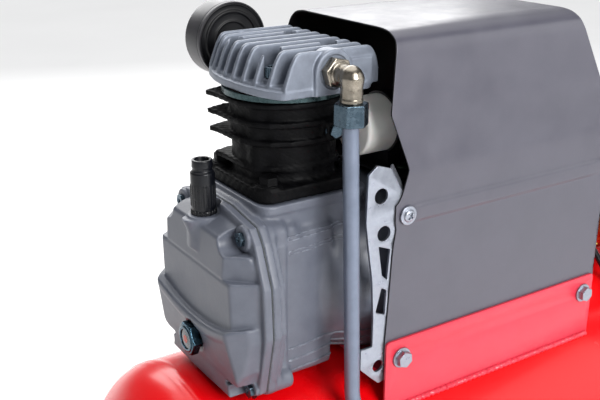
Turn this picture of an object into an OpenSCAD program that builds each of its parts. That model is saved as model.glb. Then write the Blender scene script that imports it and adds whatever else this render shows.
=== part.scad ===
// Wheelbarrow air compressor: direct-drive piston pump and motor under a hood,
// on a horizontal tank carried by a one-wheel barrow frame.
// All shapes are drawn in the pump's own frame (crank axis along X, Z up, X = 0 at the
// joint between crankcase and cover) and put on the ground by place().

/* [Crank drive] */
// Piston travel
stroke = 38; // [32:1:42]
// Cylinder bore
bore_d = 48; // [44:1:50]
// Distance between the two connecting rod bores
rod_len = 100; // [96:1:106]
// Distance from the cover joint to the cylinder axis
cyl_x = 56; // [54:1:60]
// Motor and crank shaft diameter
shaft_d = 20; // [16:1:24]

/* [Crankcase] */
// Width of the crankcase between its flat sides
case_w = 114; // [108:1:120]
// Height of the cylinder seat above the crank axis
seat_z = 78; // [76:1:82]
// Depth of the crankcase cover
cover_depth = 30; // [26:1:36]
// Wall of the castings
cast_wall = 5; // [4:0.5:7]

/* [Cylinder and head] */
// Height of the finned cylinder above its seat
barrel_h = 72; // [70:1:84]
// Outer radius of the cylinder barrel
barrel_r = 41; // [40:0.5:44]
// Height of the cylinder head
head_h = 32; // [28:1:40]
// Distance between the head's fins
fin_pitch = 13.2; // [12:0.1:14]
// Number of fins on the head
fin_count = 9; // [7:1:10]

/* [Motor] */
// Outer diameter of the stator stack
stator_d = 130; // [120:1:132]
// Length of the stator stack
stack_len = 90; // [70:1:110]
// Radius of the round bell that holds the stator
bell_r = 82; // [80:0.5:83]
// Diameter of the capacitor
cap_d = 45; // [38:1:48]

/* [Hood] */
// Length of the hood
hood_len = 235; // [230:1:260]
// Half of the hood's width at its straight lower walls
hood_w = 85; // [84:0.5:90]
// Height of the hood above the crank axis
hood_top = 200; // [196:1:220]
// Sheet thickness of the hood
sheet_t = 1.2; // [0.8:0.1:2]

/* [Tank] */
// Outer radius of the tank
tank_r = 150; // [140:1:165]
// Length of the tank's straight shell
tank_len = 600; // [560:1:700]
// Depth of each domed end
dome_d = 75; // [65:1:85]
// Wall of the tank
tank_wall = 3; // [2.5:0.5:4]
// Height of the crank axis above the top of the tank
pump_h = 71; // [71:1:80]

/* [Barrow] */
// Diameter of the wheel
wheel_d = 260; // [240:1:280]
// Width of the tyre
tyre_w = 85; // [70:1:95]
// Diameter of the frame tubes
tube_d = 28; // [25:1:30]
// Diameter of the wheel's axle
axle_d = 16; // [12:1:18]
// Height of the handles above the ground
handle_h = 361; // [320:1:420]
// Half of the distance between the two handles
handle_y = 235; // [210:1:260]
// Length of a rubber grip
grip_len = 125; // [110:1:130]

/* [Controls] */
// Diameter of a pressure gauge
gauge_d = 50; // [40:1:54]
// Diameter of the delivery tube
delivery_d = 12; // [10:1:12]
// Radius of the quick coupler's socket
socket_r = 5.3; // [4.5:0.1:6]

/* [Hidden] */
$fn = 72;

// Clearances, each used wherever that kind of fit occurs
run_gap = 0.05;   // radial, a shaft or pin that turns in a bore
slide_gap = 0.08; // radial, a piece that slides in a bore
part_gap = 0.3;   // between pieces that move past each other
thread_gap = 0.05; // radial, between a screw or lens and the piece around it
gasket_t = 0.8;   // thickness of the paper and fibre gaskets
cut = 1;          // how far a cutting shape reaches past a face

// Crank drive
crank_r = stroke / 2;
shaft_r = shaft_d / 2;
bore_r = bore_d / 2;
web_x = 68;                       // front face of the crank web
web_t = 12;
wall_x = 84;                      // front of the main bearing wall
bearing_w = 14;
pin_z = crank_r + rod_len;        // wrist pin at top dead centre
seat_top = seat_z + gasket_t;     // the cylinder's base face
deck_z = seat_top + barrel_h;     // the cylinder's top face
crown_gap = 0.8;
plate_t = 4;
plate_z = deck_z + gasket_t;      // valve plate's lower face
head_z = plate_z + plate_t + gasket_t;
spigot_r = bore_r + 4;
spigot_len = 16;

// Crankcase outline: half of the shield-shaped joint flange, (y, z)
case_hw = case_w / 2;
flange_half = [[0, 75], [17, 75], [54, 69], [62, 58], [case_hw + 17, 28], [case_hw + 19, -11],
  [65, -60], [56, -67], [38, -70], [0, -70]];
flange_t = 7;
screws = [[47.4, 59.8], [56, -60]];  // (y, z) of the cover screws, each mirrored in y
stud_at = 35;                        // base studs, from the cylinder axis
head_bolt_at = (bore_r + barrel_r) / 2 / sqrt(2) + 1;

// Motor
bell_x = 150;                     // where the stator's seat begins
seat_len = 15;
stator_r = stator_d / 2;
stack_x = bell_x + 0.5;
shield_x = stack_x + stack_len - 10;
shield_len = 46;
rotor_r = 34.6;
tie_at = 52;                      // tie bolts, in y and z
deck_top = -67;                   // top of the saddle's deck
deck_t = 3;

// Hood and saddle
hood_x = 94;                      // front edge of the saddle and the hood's foot
hood_end = 100 + hood_len;
plate_w = 2.5;
saddle_top = -38;
hood_foot = -62;
screw_x = 111;
screw_z = 65;
bolt_x = 109;
bolt_z = -54;
rear_bolt_x = hood_end - 15;
bracket_t = 2.5;

// Tank and barrow
tank_x = -37;                     // front end of the straight shell
tank_end = tank_x + tank_len;
tank_z = -pump_h - tank_r;
wheel_r = wheel_d / 2;
axle_x = tank_x - dome_d - wheel_r - 3;
axle_z = tank_z - 80;
ground_z = axle_z - wheel_r;
tube_r = tube_d / 2;
tube_wall = 2;
run_z = tank_z - 64;              // height of the frame tubes beside the tank
run_y = sqrt(tank_r * tank_r - 64 * 64) + tube_r + 4;
fork_y = tyre_w / 2 + 9.5;        // inner faces of the axle plates
fork_t = 5;
handle_z = ground_z + handle_h;
handle_x = tank_end + 177;        // where the straight handle begins
rear_x = handle_x + 130;
leg_x = tank_end - 63;
leg_r = 12.5;
foot_h = 20;

// Controls
ctrl_x = tank_end - 133;          // manifold axis on the tank
ctrl_z = -pump_h + 36;            // manifold's centre height
block = [30, 80, 30];
boss_h = 10;
reg_y = -75;
tank_gauge_y = 18;
gauge_x = ctrl_x + 28;
gauge_len = 26;
gauge_r = gauge_d / 2;
switch_z = ctrl_z + 27;
coupler_y = reg_y - 20;

// Delivery line
elbow_x = 64.5;
elbow_y = -75;
elbow_z = head_z + 16.5;
valve_y = -(tank_r + 34);
delivery_r = delivery_d / 2;
drain_x = 300;

row_x = -(axle_x - wheel_r + rear_x + 5) / 2;

// ---------- helpers ----------

// Puts the pump frame on the ground, with the origin under the middle of the whole
module place() {
  translate([row_x, 0, -ground_z]) children();
}

// A cylinder along X from x, centred on (y, z)
module along_x(x, y, z, r, h) {
  translate([x, y, z]) rotate([0, 90, 0]) cylinder(r = r, h = h);
}

// A cylinder along +Y from y, centred on (x, z)
module along_y(x, y, z, r, h) {
  translate([x, y, z]) rotate([-90, 0, 0]) cylinder(r = r, h = h);
}

module along_z(x, y, z, r, h) {
  translate([x, y, z]) cylinder(r = r, h = h);
}

// A box from its low corner to its high corner
module block(low, high) {
  translate(low) cube(high - low);
}

// A hexagon bar along Z, given across its flats
module hex_bar(af, h) {
  cylinder(r = af / 2 / cos(30), h = h, $fn = 6);
}

// Both sides of the object
module both_sides() {
  children();
  mirror([0, 1, 0]) children();
}

// Extrudes a (y, z) outline along X from x
module prism_x(x, h) {
  translate([x, 0, 0]) rotate([90, 0, 90]) linear_extrude(h) children();
}

// Extrudes an (x, z) outline along -Y from y
module prism_y(y, h) {
  translate([0, y, 0]) rotate([90, 0, 0]) linear_extrude(h) children();
}

// A whole outline from its half, mirrored in the first coordinate
function whole(half) = concat(half, [for (i = [len(half) - 2:-1:1]) [-half[i][0], half[i][1]]]);

// The flange outline, drawn in by d on all sides
function inset(half, d) = [for (p = half) [p[0] * (1 - d / 70), p[1] * (1 - d / 70)]];

function unit(v) = v / norm(v);

// Replaces each inner corner of a path with an arc of n + 1 points
function rounded(path, r, n) = concat([path[0]],
  [for (i = [1:len(path) - 2])
    let (a = unit(path[i] - path[i - 1]),
         b = unit(path[i + 1] - path[i]),
         turn = acos(a * b),
         t = r * tan(turn / 2),
         side = unit(b - a),
         middle = path[i] + side * (r / cos(turn / 2)),
         u = (path[i] - a * t - middle) / r)
    for (k = [0:n]) middle + r * (u * cos(turn * k / n) + a * sin(turn * k / n))],
  [path[len(path) - 1]]);

// The direction of a path at its point i
function heading(path, i) =
  unit(path[min(i + 1, len(path) - 1)] - path[max(i - 1, 0)]);

// A ring of points around a path's point; side is any direction off the path
function ring(path, i, r, sides, side) =
  let (t = heading(path, i), u = unit(side - (side * t) * t), v = cross(t, u))
  [for (k = [0:sides - 1]) path[i] + r * (u * cos(360 * k / sides) + v * sin(360 * k / sides))];

// A tube of wall w swept along a path
module swept_tube(path, r, w, sides, side) {
  n = len(path);
  points = concat([for (i = [0:n - 1]) each ring(path, i, r, sides, side)],
                  [for (i = [0:n - 1]) each ring(path, i, r - w, sides, side)]);
  skin = n * sides;
  polyhedron(points, concat(
    [for (i = [0:n - 2], k = [0:sides - 1])
      let (m = (k + 1) % sides)
      [i * sides + k, i * sides + m, (i + 1) * sides + m, (i + 1) * sides + k]],
    [for (i = [0:n - 2], k = [0:sides - 1])
      let (m = (k + 1) % sides)
      [skin + i * sides + k, skin + (i + 1) * sides + k, skin + (i + 1) * sides + m,
        skin + i * sides + m]],
    [for (k = [0:sides - 1]) let (m = (k + 1) % sides) [k, skin + k, skin + m, m]],
    [for (k = [0:sides - 1])
      let (m = (k + 1) % sides, e = (n - 1) * sides)
      [e + k, e + m, skin + e + m, skin + e + k]]), convexity = 6);
}

// Half of a tank outline, (r, x): dome, straight shell, dome
function tank_half(r, dome, steps) = concat(
  [for (i = [0:steps]) [r * sin(90 * i / steps), tank_x - dome * cos(90 * i / steps)]],
  [for (i = [0:steps]) [r * cos(90 * i / steps), tank_end + dome * sin(90 * i / steps)]]);

module tank_solid(r, dome) {
  translate([0, 0, tank_z]) rotate([0, 90, 0]) rotate_extrude($fn = 96)
    polygon(tank_half(r, dome, 12));
}

// ---------- tank and barrow ----------

module tank() {
  color("red") place() difference() {
    union() {
      tank_solid(tank_r, dome_d);
      along_z(ctrl_x, 0, -pump_h - 6, 17, boss_h + 6);
      along_z(drain_x, 0, tank_z - tank_r - 8, 14, 14);
      along_y(elbow_x, -tank_r - boss_h, tank_z, 15, boss_h + 6);
    }
    tank_solid(tank_r - tank_wall, dome_d - tank_wall);
    along_z(ctrl_x, 0, -pump_h - 20, 10, 40);
    along_z(drain_x, 0, tank_z - tank_r - 20, 8, 40);
    along_y(elbow_x, -tank_r - boss_h - cut, tank_z, 9, 30);
  }
}

module saddle() {
  color("red") place() difference() {
    union() {
      both_sides() block([hood_x, hood_w, tank_z + 50], [hood_end - 2, hood_w + plate_w, saddle_top]);
      block([hood_x, -hood_w, deck_top - deck_t], [hood_end - 2, hood_w, deck_top]);
    }
    along_x(hood_x - cut, 0, tank_z, tank_r, hood_len + 20);
    for (x = [bolt_x, rear_bolt_x]) along_y(x, -hood_w - 10, bolt_z, 4.2, 2 * hood_w + 20);
    for (x = foot_xs, y = [-foot_y, foot_y]) along_z(x, y, deck_top - 10, 4.2, 20);
    // room for the side brackets' lower ends
    both_sides() block([hood_x - cut, hood_w - 6, deck_top - 5], [hood_x + 12, hood_w, deck_top + 1]);
  }
}
foot_xs = [135, shield_x + 33];
foot_y = hood_w - 13;

// One side's frame tube, from the axle plate to the end of the handle
function frame_path() = rounded([
  [axle_x + 24, -fork_y - fork_t - tube_r, run_z],
  [axle_x + 60, -fork_y - fork_t - tube_r, run_z],
  [tank_x - 50, -run_y, run_z],
  [tank_end + 37, -run_y, run_z],
  [handle_x - 40, -handle_y, handle_z],
  [rear_x, -handle_y, handle_z]], 70, 5);

module frame_tubes() {
  color("red") place() both_sides()
    swept_tube(frame_path(), tube_r, tube_wall, 20, [0, 1, 0]);
}

module frame_brackets() {
  color("red") place() both_sides() {
    difference() {
      prism_y(-fork_y, fork_t) union() {
        translate([axle_x, axle_z]) circle(r = 22);
        polygon([[axle_x, axle_z - 22], [axle_x + 78, run_z - 10], [axle_x + 78, run_z + 10],
          [axle_x + 12, run_z + 10], [axle_x - 14, axle_z + 16]]);
      }
      along_y(axle_x, -fork_y - fork_t - cut, axle_z, axle_d / 2 + 0.2, fork_t + 2 * cut);
    }
    for (x = [tank_x + 70, leg_x - 20]) difference() {
      block([x, -run_y, run_z - 7], [x + 50, -run_y + 40, run_z + 7]);
      along_x(x - cut, 0, tank_z, tank_r, 60);
      along_x(x - cut, -run_y, run_z, tube_r, 60);
    }
  }
}

module rear_legs() {
  color("red") place() difference() {
    union() {
      both_sides() along_z(leg_x, -run_y, ground_z + 5, leg_r, run_z - ground_z - 5);
      along_y(leg_x, -run_y, ground_z + 42, 10, 2 * run_y);
    }
    both_sides() {
      along_z(leg_x, -run_y, ground_z, leg_r - tube_wall, run_z - ground_z);
      along_x(leg_x - 40, -run_y, run_z, tube_r, 80);
    }
    along_y(leg_x, -run_y, ground_z + 42, 10 - tube_wall, 2 * run_y);
  }
}

module rubber_feet() {
  color("#1c1c1c") place() both_sides() difference() {
    along_z(leg_x, -run_y, ground_z, 18, foot_h);
    along_z(leg_x, -run_y, ground_z + 5, leg_r, foot_h);
  }
}

module handle_grips() {
  color("#1c1c1c") place() both_sides() difference() {
    along_x(rear_x + 5 - grip_len, -handle_y, handle_z, tube_r + 3.5, grip_len);
    along_x(rear_x - grip_len, -handle_y, handle_z, tube_r, grip_len);
  }
}

module wheel_axle() {
  half = fork_y + fork_t;
  color("silver") place() {
    along_y(axle_x, -half - 8, axle_z, axle_d / 2, 2 * half + 26);
    translate([axle_x, -half - 10, axle_z]) rotate([-90, 0, 0]) hex_bar(24, 10);
    difference() {
      translate([axle_x, half, axle_z]) rotate([-90, 0, 0]) hex_bar(24, 13);
      along_y(axle_x, half - cut, axle_z, axle_d / 2 + thread_gap, 20);
    }
  }
}

rim_r = 62;
module tyre() {
  h = tyre_w / 2;
  color("#1e1e1e") place() translate([axle_x, 0, axle_z]) rotate([90, 0, 0])
    rotate_extrude($fn = 96) difference() {
      polygon([[rim_r + 0.1, -29.8], [rim_r + 8, -30.8], [rim_r + 9, -34.5], [rim_r + 14, -h + 4], [rim_r + 36, -h], [wheel_r - 14, -h + 5],
        [wheel_r - 3, -h + 18], [wheel_r, 0], [wheel_r - 3, h - 18], [wheel_r - 14, h - 5],
        [rim_r + 36, h], [rim_r + 14, h - 4], [rim_r + 9, 34.5], [rim_r + 8, 30.8],
        [rim_r + 0.1, 29.8]]);
      polygon([[rim_r - cut, -22], [rim_r + 14, -h + 13], [rim_r + 36, -h + 9],
        [wheel_r - 17, -h + 17], [wheel_r - 12, 0], [wheel_r - 17, h - 17],
        [rim_r + 36, h - 9], [rim_r + 14, h - 13], [rim_r - cut, 22]]);
    }
}

module rim() {
  hub_h = fork_y - 0.5;
  bush = axle_d / 2 + 5;
  color("#d8d8d4") place() translate([axle_x, 0, axle_z]) rotate([90, 0, 0]) {
    rotate_extrude($fn = 96) {
      polygon([[bush, -hub_h + 3], [bush + 5, -hub_h + 3], [bush + 5, -8], [rim_r - 12, -8],
        [rim_r - 4, -30], [rim_r + 8, -34], [rim_r + 8, -31], [rim_r, -30], [rim_r, 30],
        [rim_r + 8, 31], [rim_r + 8, 34], [rim_r - 4, 30], [rim_r - 4, -6], [rim_r - 12, -4],
        [bush + 5, -4], [bush + 5, hub_h - 3], [bush, hub_h - 3]]);
    }
    for (s = [0, 1]) mirror([0, 0, s]) rotate_extrude()
      polygon([[axle_d / 2 + run_gap, hub_h - 25], [bush - thread_gap, hub_h - 25],
        [bush - thread_gap, hub_h - 2.9], [bush + 4, hub_h - 2.9], [bush + 4, hub_h],
        [axle_d / 2 + run_gap, hub_h]]);
  }
}

drain_z = tank_z - tank_r - 8;
module drain_valve() {
  color("gold") place() difference() {
    union() {
      translate([drain_x, 0, drain_z - 10]) hex_bar(22, 10);
      along_z(drain_x, 0, drain_z - 26, 9, 17);
      along_z(drain_x, 0, drain_z - 1, 8, 12);
      along_y(drain_x, -15, drain_z - 18, 4, 12);
    }
    along_z(drain_x, 0, drain_z - 30, 4, 50);
  }
}

module drain_lever() {
  color("red") place() difference() {
    union() {
      along_y(drain_x, -15, drain_z - 18, 7, 3.5);
      block([drain_x, -15, drain_z - 22], [drain_x + 24, -13, drain_z - 14]);
    }
    along_y(drain_x, -15 - cut, drain_z - 18, 4 + run_gap, 12);
  }
}

// ---------- crankcase ----------

// The outside of the round bell, (r, x)
bell_profile = [[0, 55], [case_hw + 1, 55], [case_hw + 5, 66], [case_hw + 15, 92], [bell_r - 3, 118],
  [bell_r, 134], [bell_r, 150], [bell_r - 2, 165], [0, 165]];

module crankcase() {
  body_half = [[0, 60], [50, 56], [case_hw, 50], [case_hw, -54], [50, -62], [0, -66]];
  color("#8a8d92") place() difference() {
    union() {
      prism_x(0, flange_t) polygon(whole(flange_half));
      prism_x(flange_t - cut, 60) polygon(whole(body_half));
      difference() {
        rotate([0, 90, 0]) rotate_extrude($fn = 96) polygon(bell_profile);
        block([0, -100, -100], [200, 100, deck_top]);
      }
      translate([cyl_x - 47, -47, 48]) linear_extrude(seat_z - 48)
        offset(r = 12) offset(delta = -12) square(94);
      block([120, -foot_y - 8, deck_top], [bell_x, foot_y + 8, deck_top + 9]);
    }
    // oil space, bearing seat and stator space
    prism_x(-cut, wall_x - 8) polygon(whole([[0, 50], [44, 46], [50, 40], [50, -44], [44, -52],
      [0, -54]]));
    along_x(wall_x - 12, 0, 0, 46, 12);
    along_x(wall_x - cut, 0, 0, 23.5, bearing_w + cut);
    along_x(wall_x, 0, 0, shaft_r + 2, 30);
    along_x(wall_x + bearing_w + 6, 0, 0, 62, 60);
    along_x(bell_x, 0, 0, stator_r + 0.02, 20);
    along_z(cyl_x, 0, 0, spigot_r + 0.1, seat_z + cut);
    both_sides() for (s = screws) along_x(-cut, s[0], s[1], 2.5, 20);
    for (x = [-1, 1], y = [-1, 1])
      along_z(cyl_x + x * stud_at, y * stud_at, seat_z - 18, 3, 20);
    for (y = [-foot_y, foot_y]) along_z(foot_xs[0], y, deck_top - cut, 4.2, 12);
    for (y = [-1, 1], z = [-1, 1]) along_x(140, y * tie_at, z * tie_at, 3, 30);
    both_sides() for (z = [44, 50]) block([16, case_hw - 0.8, z - 1], [50, case_hw + cut, z + 1]);
  }
}

breather_x = -15;
sight_z = -35;
module crankcase_cover() {
  x0 = -gasket_t;
  color("#8a8d92") place() difference() {
    union() {
      prism_x(x0 - flange_t, flange_t) polygon(whole(flange_half));
      hull() {
        prism_x(x0 - flange_t - 1, 1) polygon(whole([[0, 68], [36, 67], [46, 52], [56, 40],
          [60, -14], [52, -62], [0, -66]]));
        prism_x(x0 - cover_depth + 4, 1) polygon(whole([[0, 59], [32, 57], [40, 40], [48, 26],
          [52, -14], [44, -54], [0, -58]]));
      }
      hull() {
        prism_x(x0 - flange_t - 1, 1) polygon(whole([[0, -8], [60, -14], [50, -60], [0, -64]]));
        prism_x(x0 - cover_depth, 1) polygon(whole([[0, 2], [50, -18], [42, -54], [0, -58]]));
      }
      along_z(breather_x, 0, 50, 13, 16);
    }
    prism_x(x0 - cover_depth + cast_wall, cover_depth) polygon(whole([[0, 50], [32, 46], [44, 30],
      [46, -14], [38, -48], [0, -52]]));
    along_x(x0 - cover_depth - cut, 0, sight_z, 9, 20);
    along_x(x0 - cover_depth - cut, 0, sight_z, 15, 3);
    along_z(breather_x, 0, 40, 7, 40);
    along_z(breather_x, 0, 66, 13, 20);
    both_sides() for (s = screws) {
      along_x(-60, s[0], s[1], 3.2, 70);
      along_x(-60, s[0], s[1], 8, 60 + x0 - flange_t);
    }
  }
}

module gaskets() {
  color("#c8542a") place() {
    difference() {
      prism_x(-gasket_t, gasket_t) polygon(whole(inset(flange_half, 0.5)));
      prism_x(-5, 10) polygon(whole([[0, 50], [44, 46], [50, 40], [50, -44], [44, -52], [0, -54]]));
      both_sides() for (s = screws) along_x(-5, s[0], s[1], 3.2, 10);
    }
    difference() {
      along_z(cyl_x, 0, seat_z, 43, gasket_t);
      along_z(cyl_x, 0, seat_z - cut, spigot_r + 0.1, 5);
      stud_holes();
    }
    for (z = [deck_z, plate_z + plate_t]) difference() {
      along_z(cyl_x, 0, z, barrel_r + 1, gasket_t);
      along_z(cyl_x, 0, z - cut, bore_r + 1, 5);
      head_bolt_holes(3.6);
    }
  }
}

module stud_holes() {
  for (x = [-1, 1], y = [-1, 1]) along_z(cyl_x + x * stud_at, y * stud_at, seat_z - 2, 4.2, 30);
}

module head_bolt_holes(r) {
  for (x = [-1, 1], y = [-1, 1])
    along_z(cyl_x + x * head_bolt_at, y * head_bolt_at, deck_z - 20, r, 200);
}

module cover_screws() {
  x0 = -gasket_t - flange_t;
  color("#9fb4bf") place() both_sides() for (s = screws) translate([x0, s[0], s[1]])
    rotate([0, -90, 0]) difference() {
      union() {
        translate([0, 0, -22]) cylinder(r = 2.5, h = 23);
        cylinder(r = 7, h = 1.4);
        hex_bar(10, 5.4);
      }
      block([-2.6, -0.6, 4], [2.6, 0.6, 6]);
      block([-0.6, -2.6, 4], [0.6, 2.6, 6]);
    }
}

module oil_breather() {
  color("#15161a") place() difference() {
    union() {
      along_z(breather_x, 0, 66, 9.4, 34);
      along_z(breather_x, 0, 99, 7.6, 9);
      along_z(breather_x, 0, 50, 6.98, 17);
    }
    along_z(breather_x, 0, 106, 5.4, 5);
    along_z(breather_x, 0, 40, 4, 50);
  }
}

module sight_glass() {
  x = -gasket_t - cover_depth + 2;
  color("#5f8790") place() {
    difference() {
      union() {
        translate([x - 7, 0, sight_z]) rotate([0, 90, 0]) hex_bar(24, 7);
        along_x(x - cut, 0, sight_z, 8.98, 14);
      }
      along_x(x - 8, 0, sight_z, 7, 9);
      along_x(x, 0, sight_z, 5, 20);
    }
    along_x(x - 6, 0, sight_z, 7 - thread_gap, 3);
  }
}

// ---------- cylinder and head ----------

module cylinder_fin(z, reach) {
  translate([cyl_x - 4, 4, z]) cylinder(r = barrel_r + reach, h = 3.5);
}

// Called cylinder_body so that the built-in cylinder stays in reach
module cylinder_body() {
  color("#17181a") place() difference() {
    union() {
      along_z(cyl_x, 0, seat_top, barrel_r, barrel_h);
      along_z(cyl_x, 0, seat_top - spigot_len, spigot_r, spigot_len + cut);
      translate([cyl_x - 46, -46, seat_top]) linear_extrude(11)
        offset(r = 14) offset(delta = -14) square(92);
      for (i = [0:3]) cylinder_fin(deck_z - 4.5 - [0, 14, 28, 48][i], 3);
      translate([cyl_x + 10, -barrel_r - 2, deck_z - 30]) cube([12, 14, 12]);
    }
    along_z(cyl_x, 0, seat_top - spigot_len - cut, bore_r, spigot_len + barrel_h + 2 * cut);
    stud_holes();
    head_bolt_holes(3);
    along_y(cyl_x + 16, -barrel_r - 4, deck_z - 24, 3, 14);
  }
}

module cylinder_bolts() {
  color("#26282b") place() {
    for (x = [-1, 1], y = [-1, 1]) translate([cyl_x + x * stud_at, y * stud_at, 0]) {
      along_z(0, 0, seat_z - 17, 3, 35);
      difference() {
        translate([0, 0, seat_top + 11]) hex_bar(13, 7);
        along_z(0, 0, seat_top + 10, 3 + thread_gap, 10);
      }
    }
    translate([cyl_x + 16, -barrel_r - 2, deck_z - 24]) rotate([90, 0, 0]) {
      hex_bar(10, 5);
      translate([0, 0, -12]) cylinder(r = 3, h = 12);
    }
  }
}

module valve_plate() {
  color("#6f9a9c") place() {
    difference() {
      along_z(cyl_x, 0, plate_z, 47, plate_t);
      head_bolt_holes(3.6);
      for (x = [-8, 0, 8], y = [-12, 12]) along_z(cyl_x + x, y, plate_z - cut, 2.5, 10);
    }
    // suction reed below and delivery reed above the plate
    block([cyl_x - 12, 8, plate_z - 0.35], [cyl_x + 12, 16, plate_z - thread_gap]);
    block([cyl_x - 12, -16, plate_z + plate_t + thread_gap], [cyl_x + 12, -8, plate_z + plate_t + 0.4]);
  }
}

// Plan of the head: its front side is bowed
head_plan = [[14, -50], [7, -34], [2, -10], [2, 11], [5, 33], [12, 55], [22, 65], [86, 65],
  [94, 58], [95, -46], [88, -52], [24, -52]];
head_fin_y = [for (i = [0:fin_count - 1]) 56 - i * fin_pitch];

// X of the head's front edge at y, from its bowed plan
function head_front(y) = 2 + 14 * pow(abs(y - 5) / 60, 2);

module cylinder_head() {
  top = head_z + head_h;
  color("#8f969e") place() difference() {
    union() {
      translate([9, 0, head_z]) linear_extrude(6) polygon(head_plan);
      translate([9, 0, head_z]) linear_extrude(head_h - 12) polygon([[22, -40], [76, -40], [84, -30],
        [84, 40], [76, 52], [22, 52], [14, 40], [14, -30]]);
      for (y = head_fin_y) prism_y(y + 2, 4)
        polygon([[9 + head_front(y), head_z + 5], [9 + head_front(y) + 7, top - 8],
          [9 + head_front(y) + 12, top], [90, top], [95, top - 6], [102, head_z + 5]]);
      along_y(elbow_x, -54, elbow_z, 13, 20);
      along_y(cyl_x, 50, head_z + 17, 13, 18);
      for (x = [-1, 1], y = [-1, 1])
        along_z(cyl_x + x * head_bolt_at, y * head_bolt_at, head_z, 10, 26);
    }
    head_bolt_holes(3.6);
    for (x = [-1, 1], y = [-1, 1])
      along_z(cyl_x + x * head_bolt_at, y * head_bolt_at, head_z + 22, 7.5, 20);
    // suction and delivery chambers
    block([cyl_x - 13, -20, head_z - cut], [cyl_x + 13, -5, head_z + 15]);
    block([cyl_x - 13, 4, head_z - cut], [cyl_x + 13, 20, head_z + 15]);
    along_y(elbow_x, -60, elbow_z, 6.5, 22);
    along_y(elbow_x, -45, elbow_z - 4, 4, 30);
    along_y(cyl_x, 18, head_z + 12, 6, 30);
    along_y(cyl_x, 45, head_z + 17, 8, 30);
  }
}

module head_bolts() {
  color("#b9bec4") place() for (x = [-1, 1], y = [-1, 1])
    translate([cyl_x + x * head_bolt_at, y * head_bolt_at, 0]) difference() {
      union() {
        along_z(0, 0, deck_z - 19, 3, head_z + 22 - deck_z + 19 + cut);
        along_z(0, 0, head_z + 22, 6.5, 8);
      }
      translate([0, 0, head_z + 25]) hex_bar(6, 10);
    }
}

// ---------- crank drive ----------

piston_r = bore_r - slide_gap;
ring_zs = [for (i = [0:2]) deck_z - crown_gap - 8 - 6 * i];
skirt_z = pin_z - 20;

module piston() {
  color("#b4b6b8") place() difference() {
    along_z(cyl_x, 0, skirt_z, piston_r, deck_z - crown_gap - skirt_z);
    along_z(cyl_x, 0, skirt_z - cut, piston_r - 4, pin_z + 14 - skirt_z + cut);
    along_x(cyl_x - 40, 0, pin_z, 6.5, 80);
    for (z = ring_zs) difference() {
      along_z(cyl_x, 0, z, piston_r + cut, 2.5);
      along_z(cyl_x, 0, z - cut, piston_r - 3, 5);
    }
  }
}

module piston_rings() {
  color("#55585c") place() for (z = ring_zs) difference() {
    along_z(cyl_x, 0, z, bore_r - 0.02, 2.5);
    along_z(cyl_x, 0, z - cut, piston_r - 3, 5);
  }
}

module wrist_pin() {
  color("silver") place() difference() {
    along_x(cyl_x - piston_r + 3, 0, pin_z, 6.5, 2 * piston_r - 6);
    along_x(cyl_x - 40, 0, pin_z, 4, 80);
  }
}

rod_w = 16;
module connecting_rod() {
  x0 = cyl_x - rod_w / 2;
  color("#a7aaad") place() difference() {
    union() {
      along_x(x0, 0, crank_r, 15, rod_w);
      along_x(x0, 0, pin_z, 11, rod_w);
      block([x0 + 3, -6, crank_r + 10], [x0 + rod_w - 3, 6, pin_z - 8]);
      block([x0 + 6, -3, crank_r - 26], [x0 + rod_w - 6, 3, crank_r - 12]);
    }
    along_x(x0 - cut, 0, crank_r, 8, rod_w + 2 * cut);
    along_x(x0 - cut, 0, pin_z, 6.5 + run_gap, rod_w + 2 * cut);
  }
}

module crank_pin() {
  color("silver") place() {
    along_x(cyl_x - rod_w / 2 - 3, 0, crank_r, 8, web_x - 0.5 - cyl_x + rod_w / 2 + 3);
    along_x(cyl_x - rod_w / 2 - 4.2, 0, crank_r, 11, 4);
  }
}

module crank_web() {
  color("#6d7074") place() difference() {
    union() {
      along_x(web_x, 0, 0, 20, web_t);
      along_x(web_x, 0, crank_r, 12, web_t);
      intersection() {
        along_x(web_x, 0, 0, 42, web_t);
        block([web_x, -50, -50], [web_x + web_t, 50, -6]);
      }
    }
    along_x(web_x - cut, 0, 0, shaft_r, web_t + 2 * cut);
  }
}

shaft_end = shield_x + shield_len + 18;
module shaft() {
  color("silver") place() along_x(web_x + 1, 0, 0, shaft_r, shaft_end - web_x - 1);
}

module main_bearings() {
  color("#c3c7cb") place() for (x = [wall_x, shield_x + shield_len - bearing_w]) difference() {
    along_x(x, 0, 0, 23.5, bearing_w);
    along_x(x - cut, 0, 0, shaft_r + run_gap, bearing_w + 2 * cut);
  }
}

// ---------- air filter and delivery line ----------

filter_y = 78;
filter_z = head_z + 20;
filter_r = 31;

module filter_base() {
  color("#15161a") place() {
    difference() {
      union() {
        along_y(cyl_x, filter_y, filter_z, filter_r - 1.2, 3);
        along_y(cyl_x, 61, head_z + 17, 7.98, filter_y - 60);
        along_y(cyl_x, 68, head_z + 17, 12, 4);
      }
      along_y(cyl_x, 60, head_z + 17, 5, 30);
      difference() {
        along_y(cyl_x, filter_y - cut, filter_z, 24, 2);
        along_y(cyl_x, filter_y - 2, filter_z, 20, 5);
      }
    }
    difference() {
      along_y(cyl_x, filter_y + 3 + thread_gap, filter_z, 26, 20);
      along_y(cyl_x, filter_y, filter_z, 12, 30);
    }
  }
}

module filter_cover() {
  color("#7d7b78") place() difference() {
    along_y(cyl_x, filter_y, filter_z, filter_r, 28);
    along_y(cyl_x, filter_y - cut, filter_z, filter_r - 1.2, 26);
    for (a = [0:30:330]) translate([cyl_x, 0, filter_z]) rotate([0, a, 0])
      block([14, 95, -1.5], [24, 120, 1.5]);
  }
}

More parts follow.
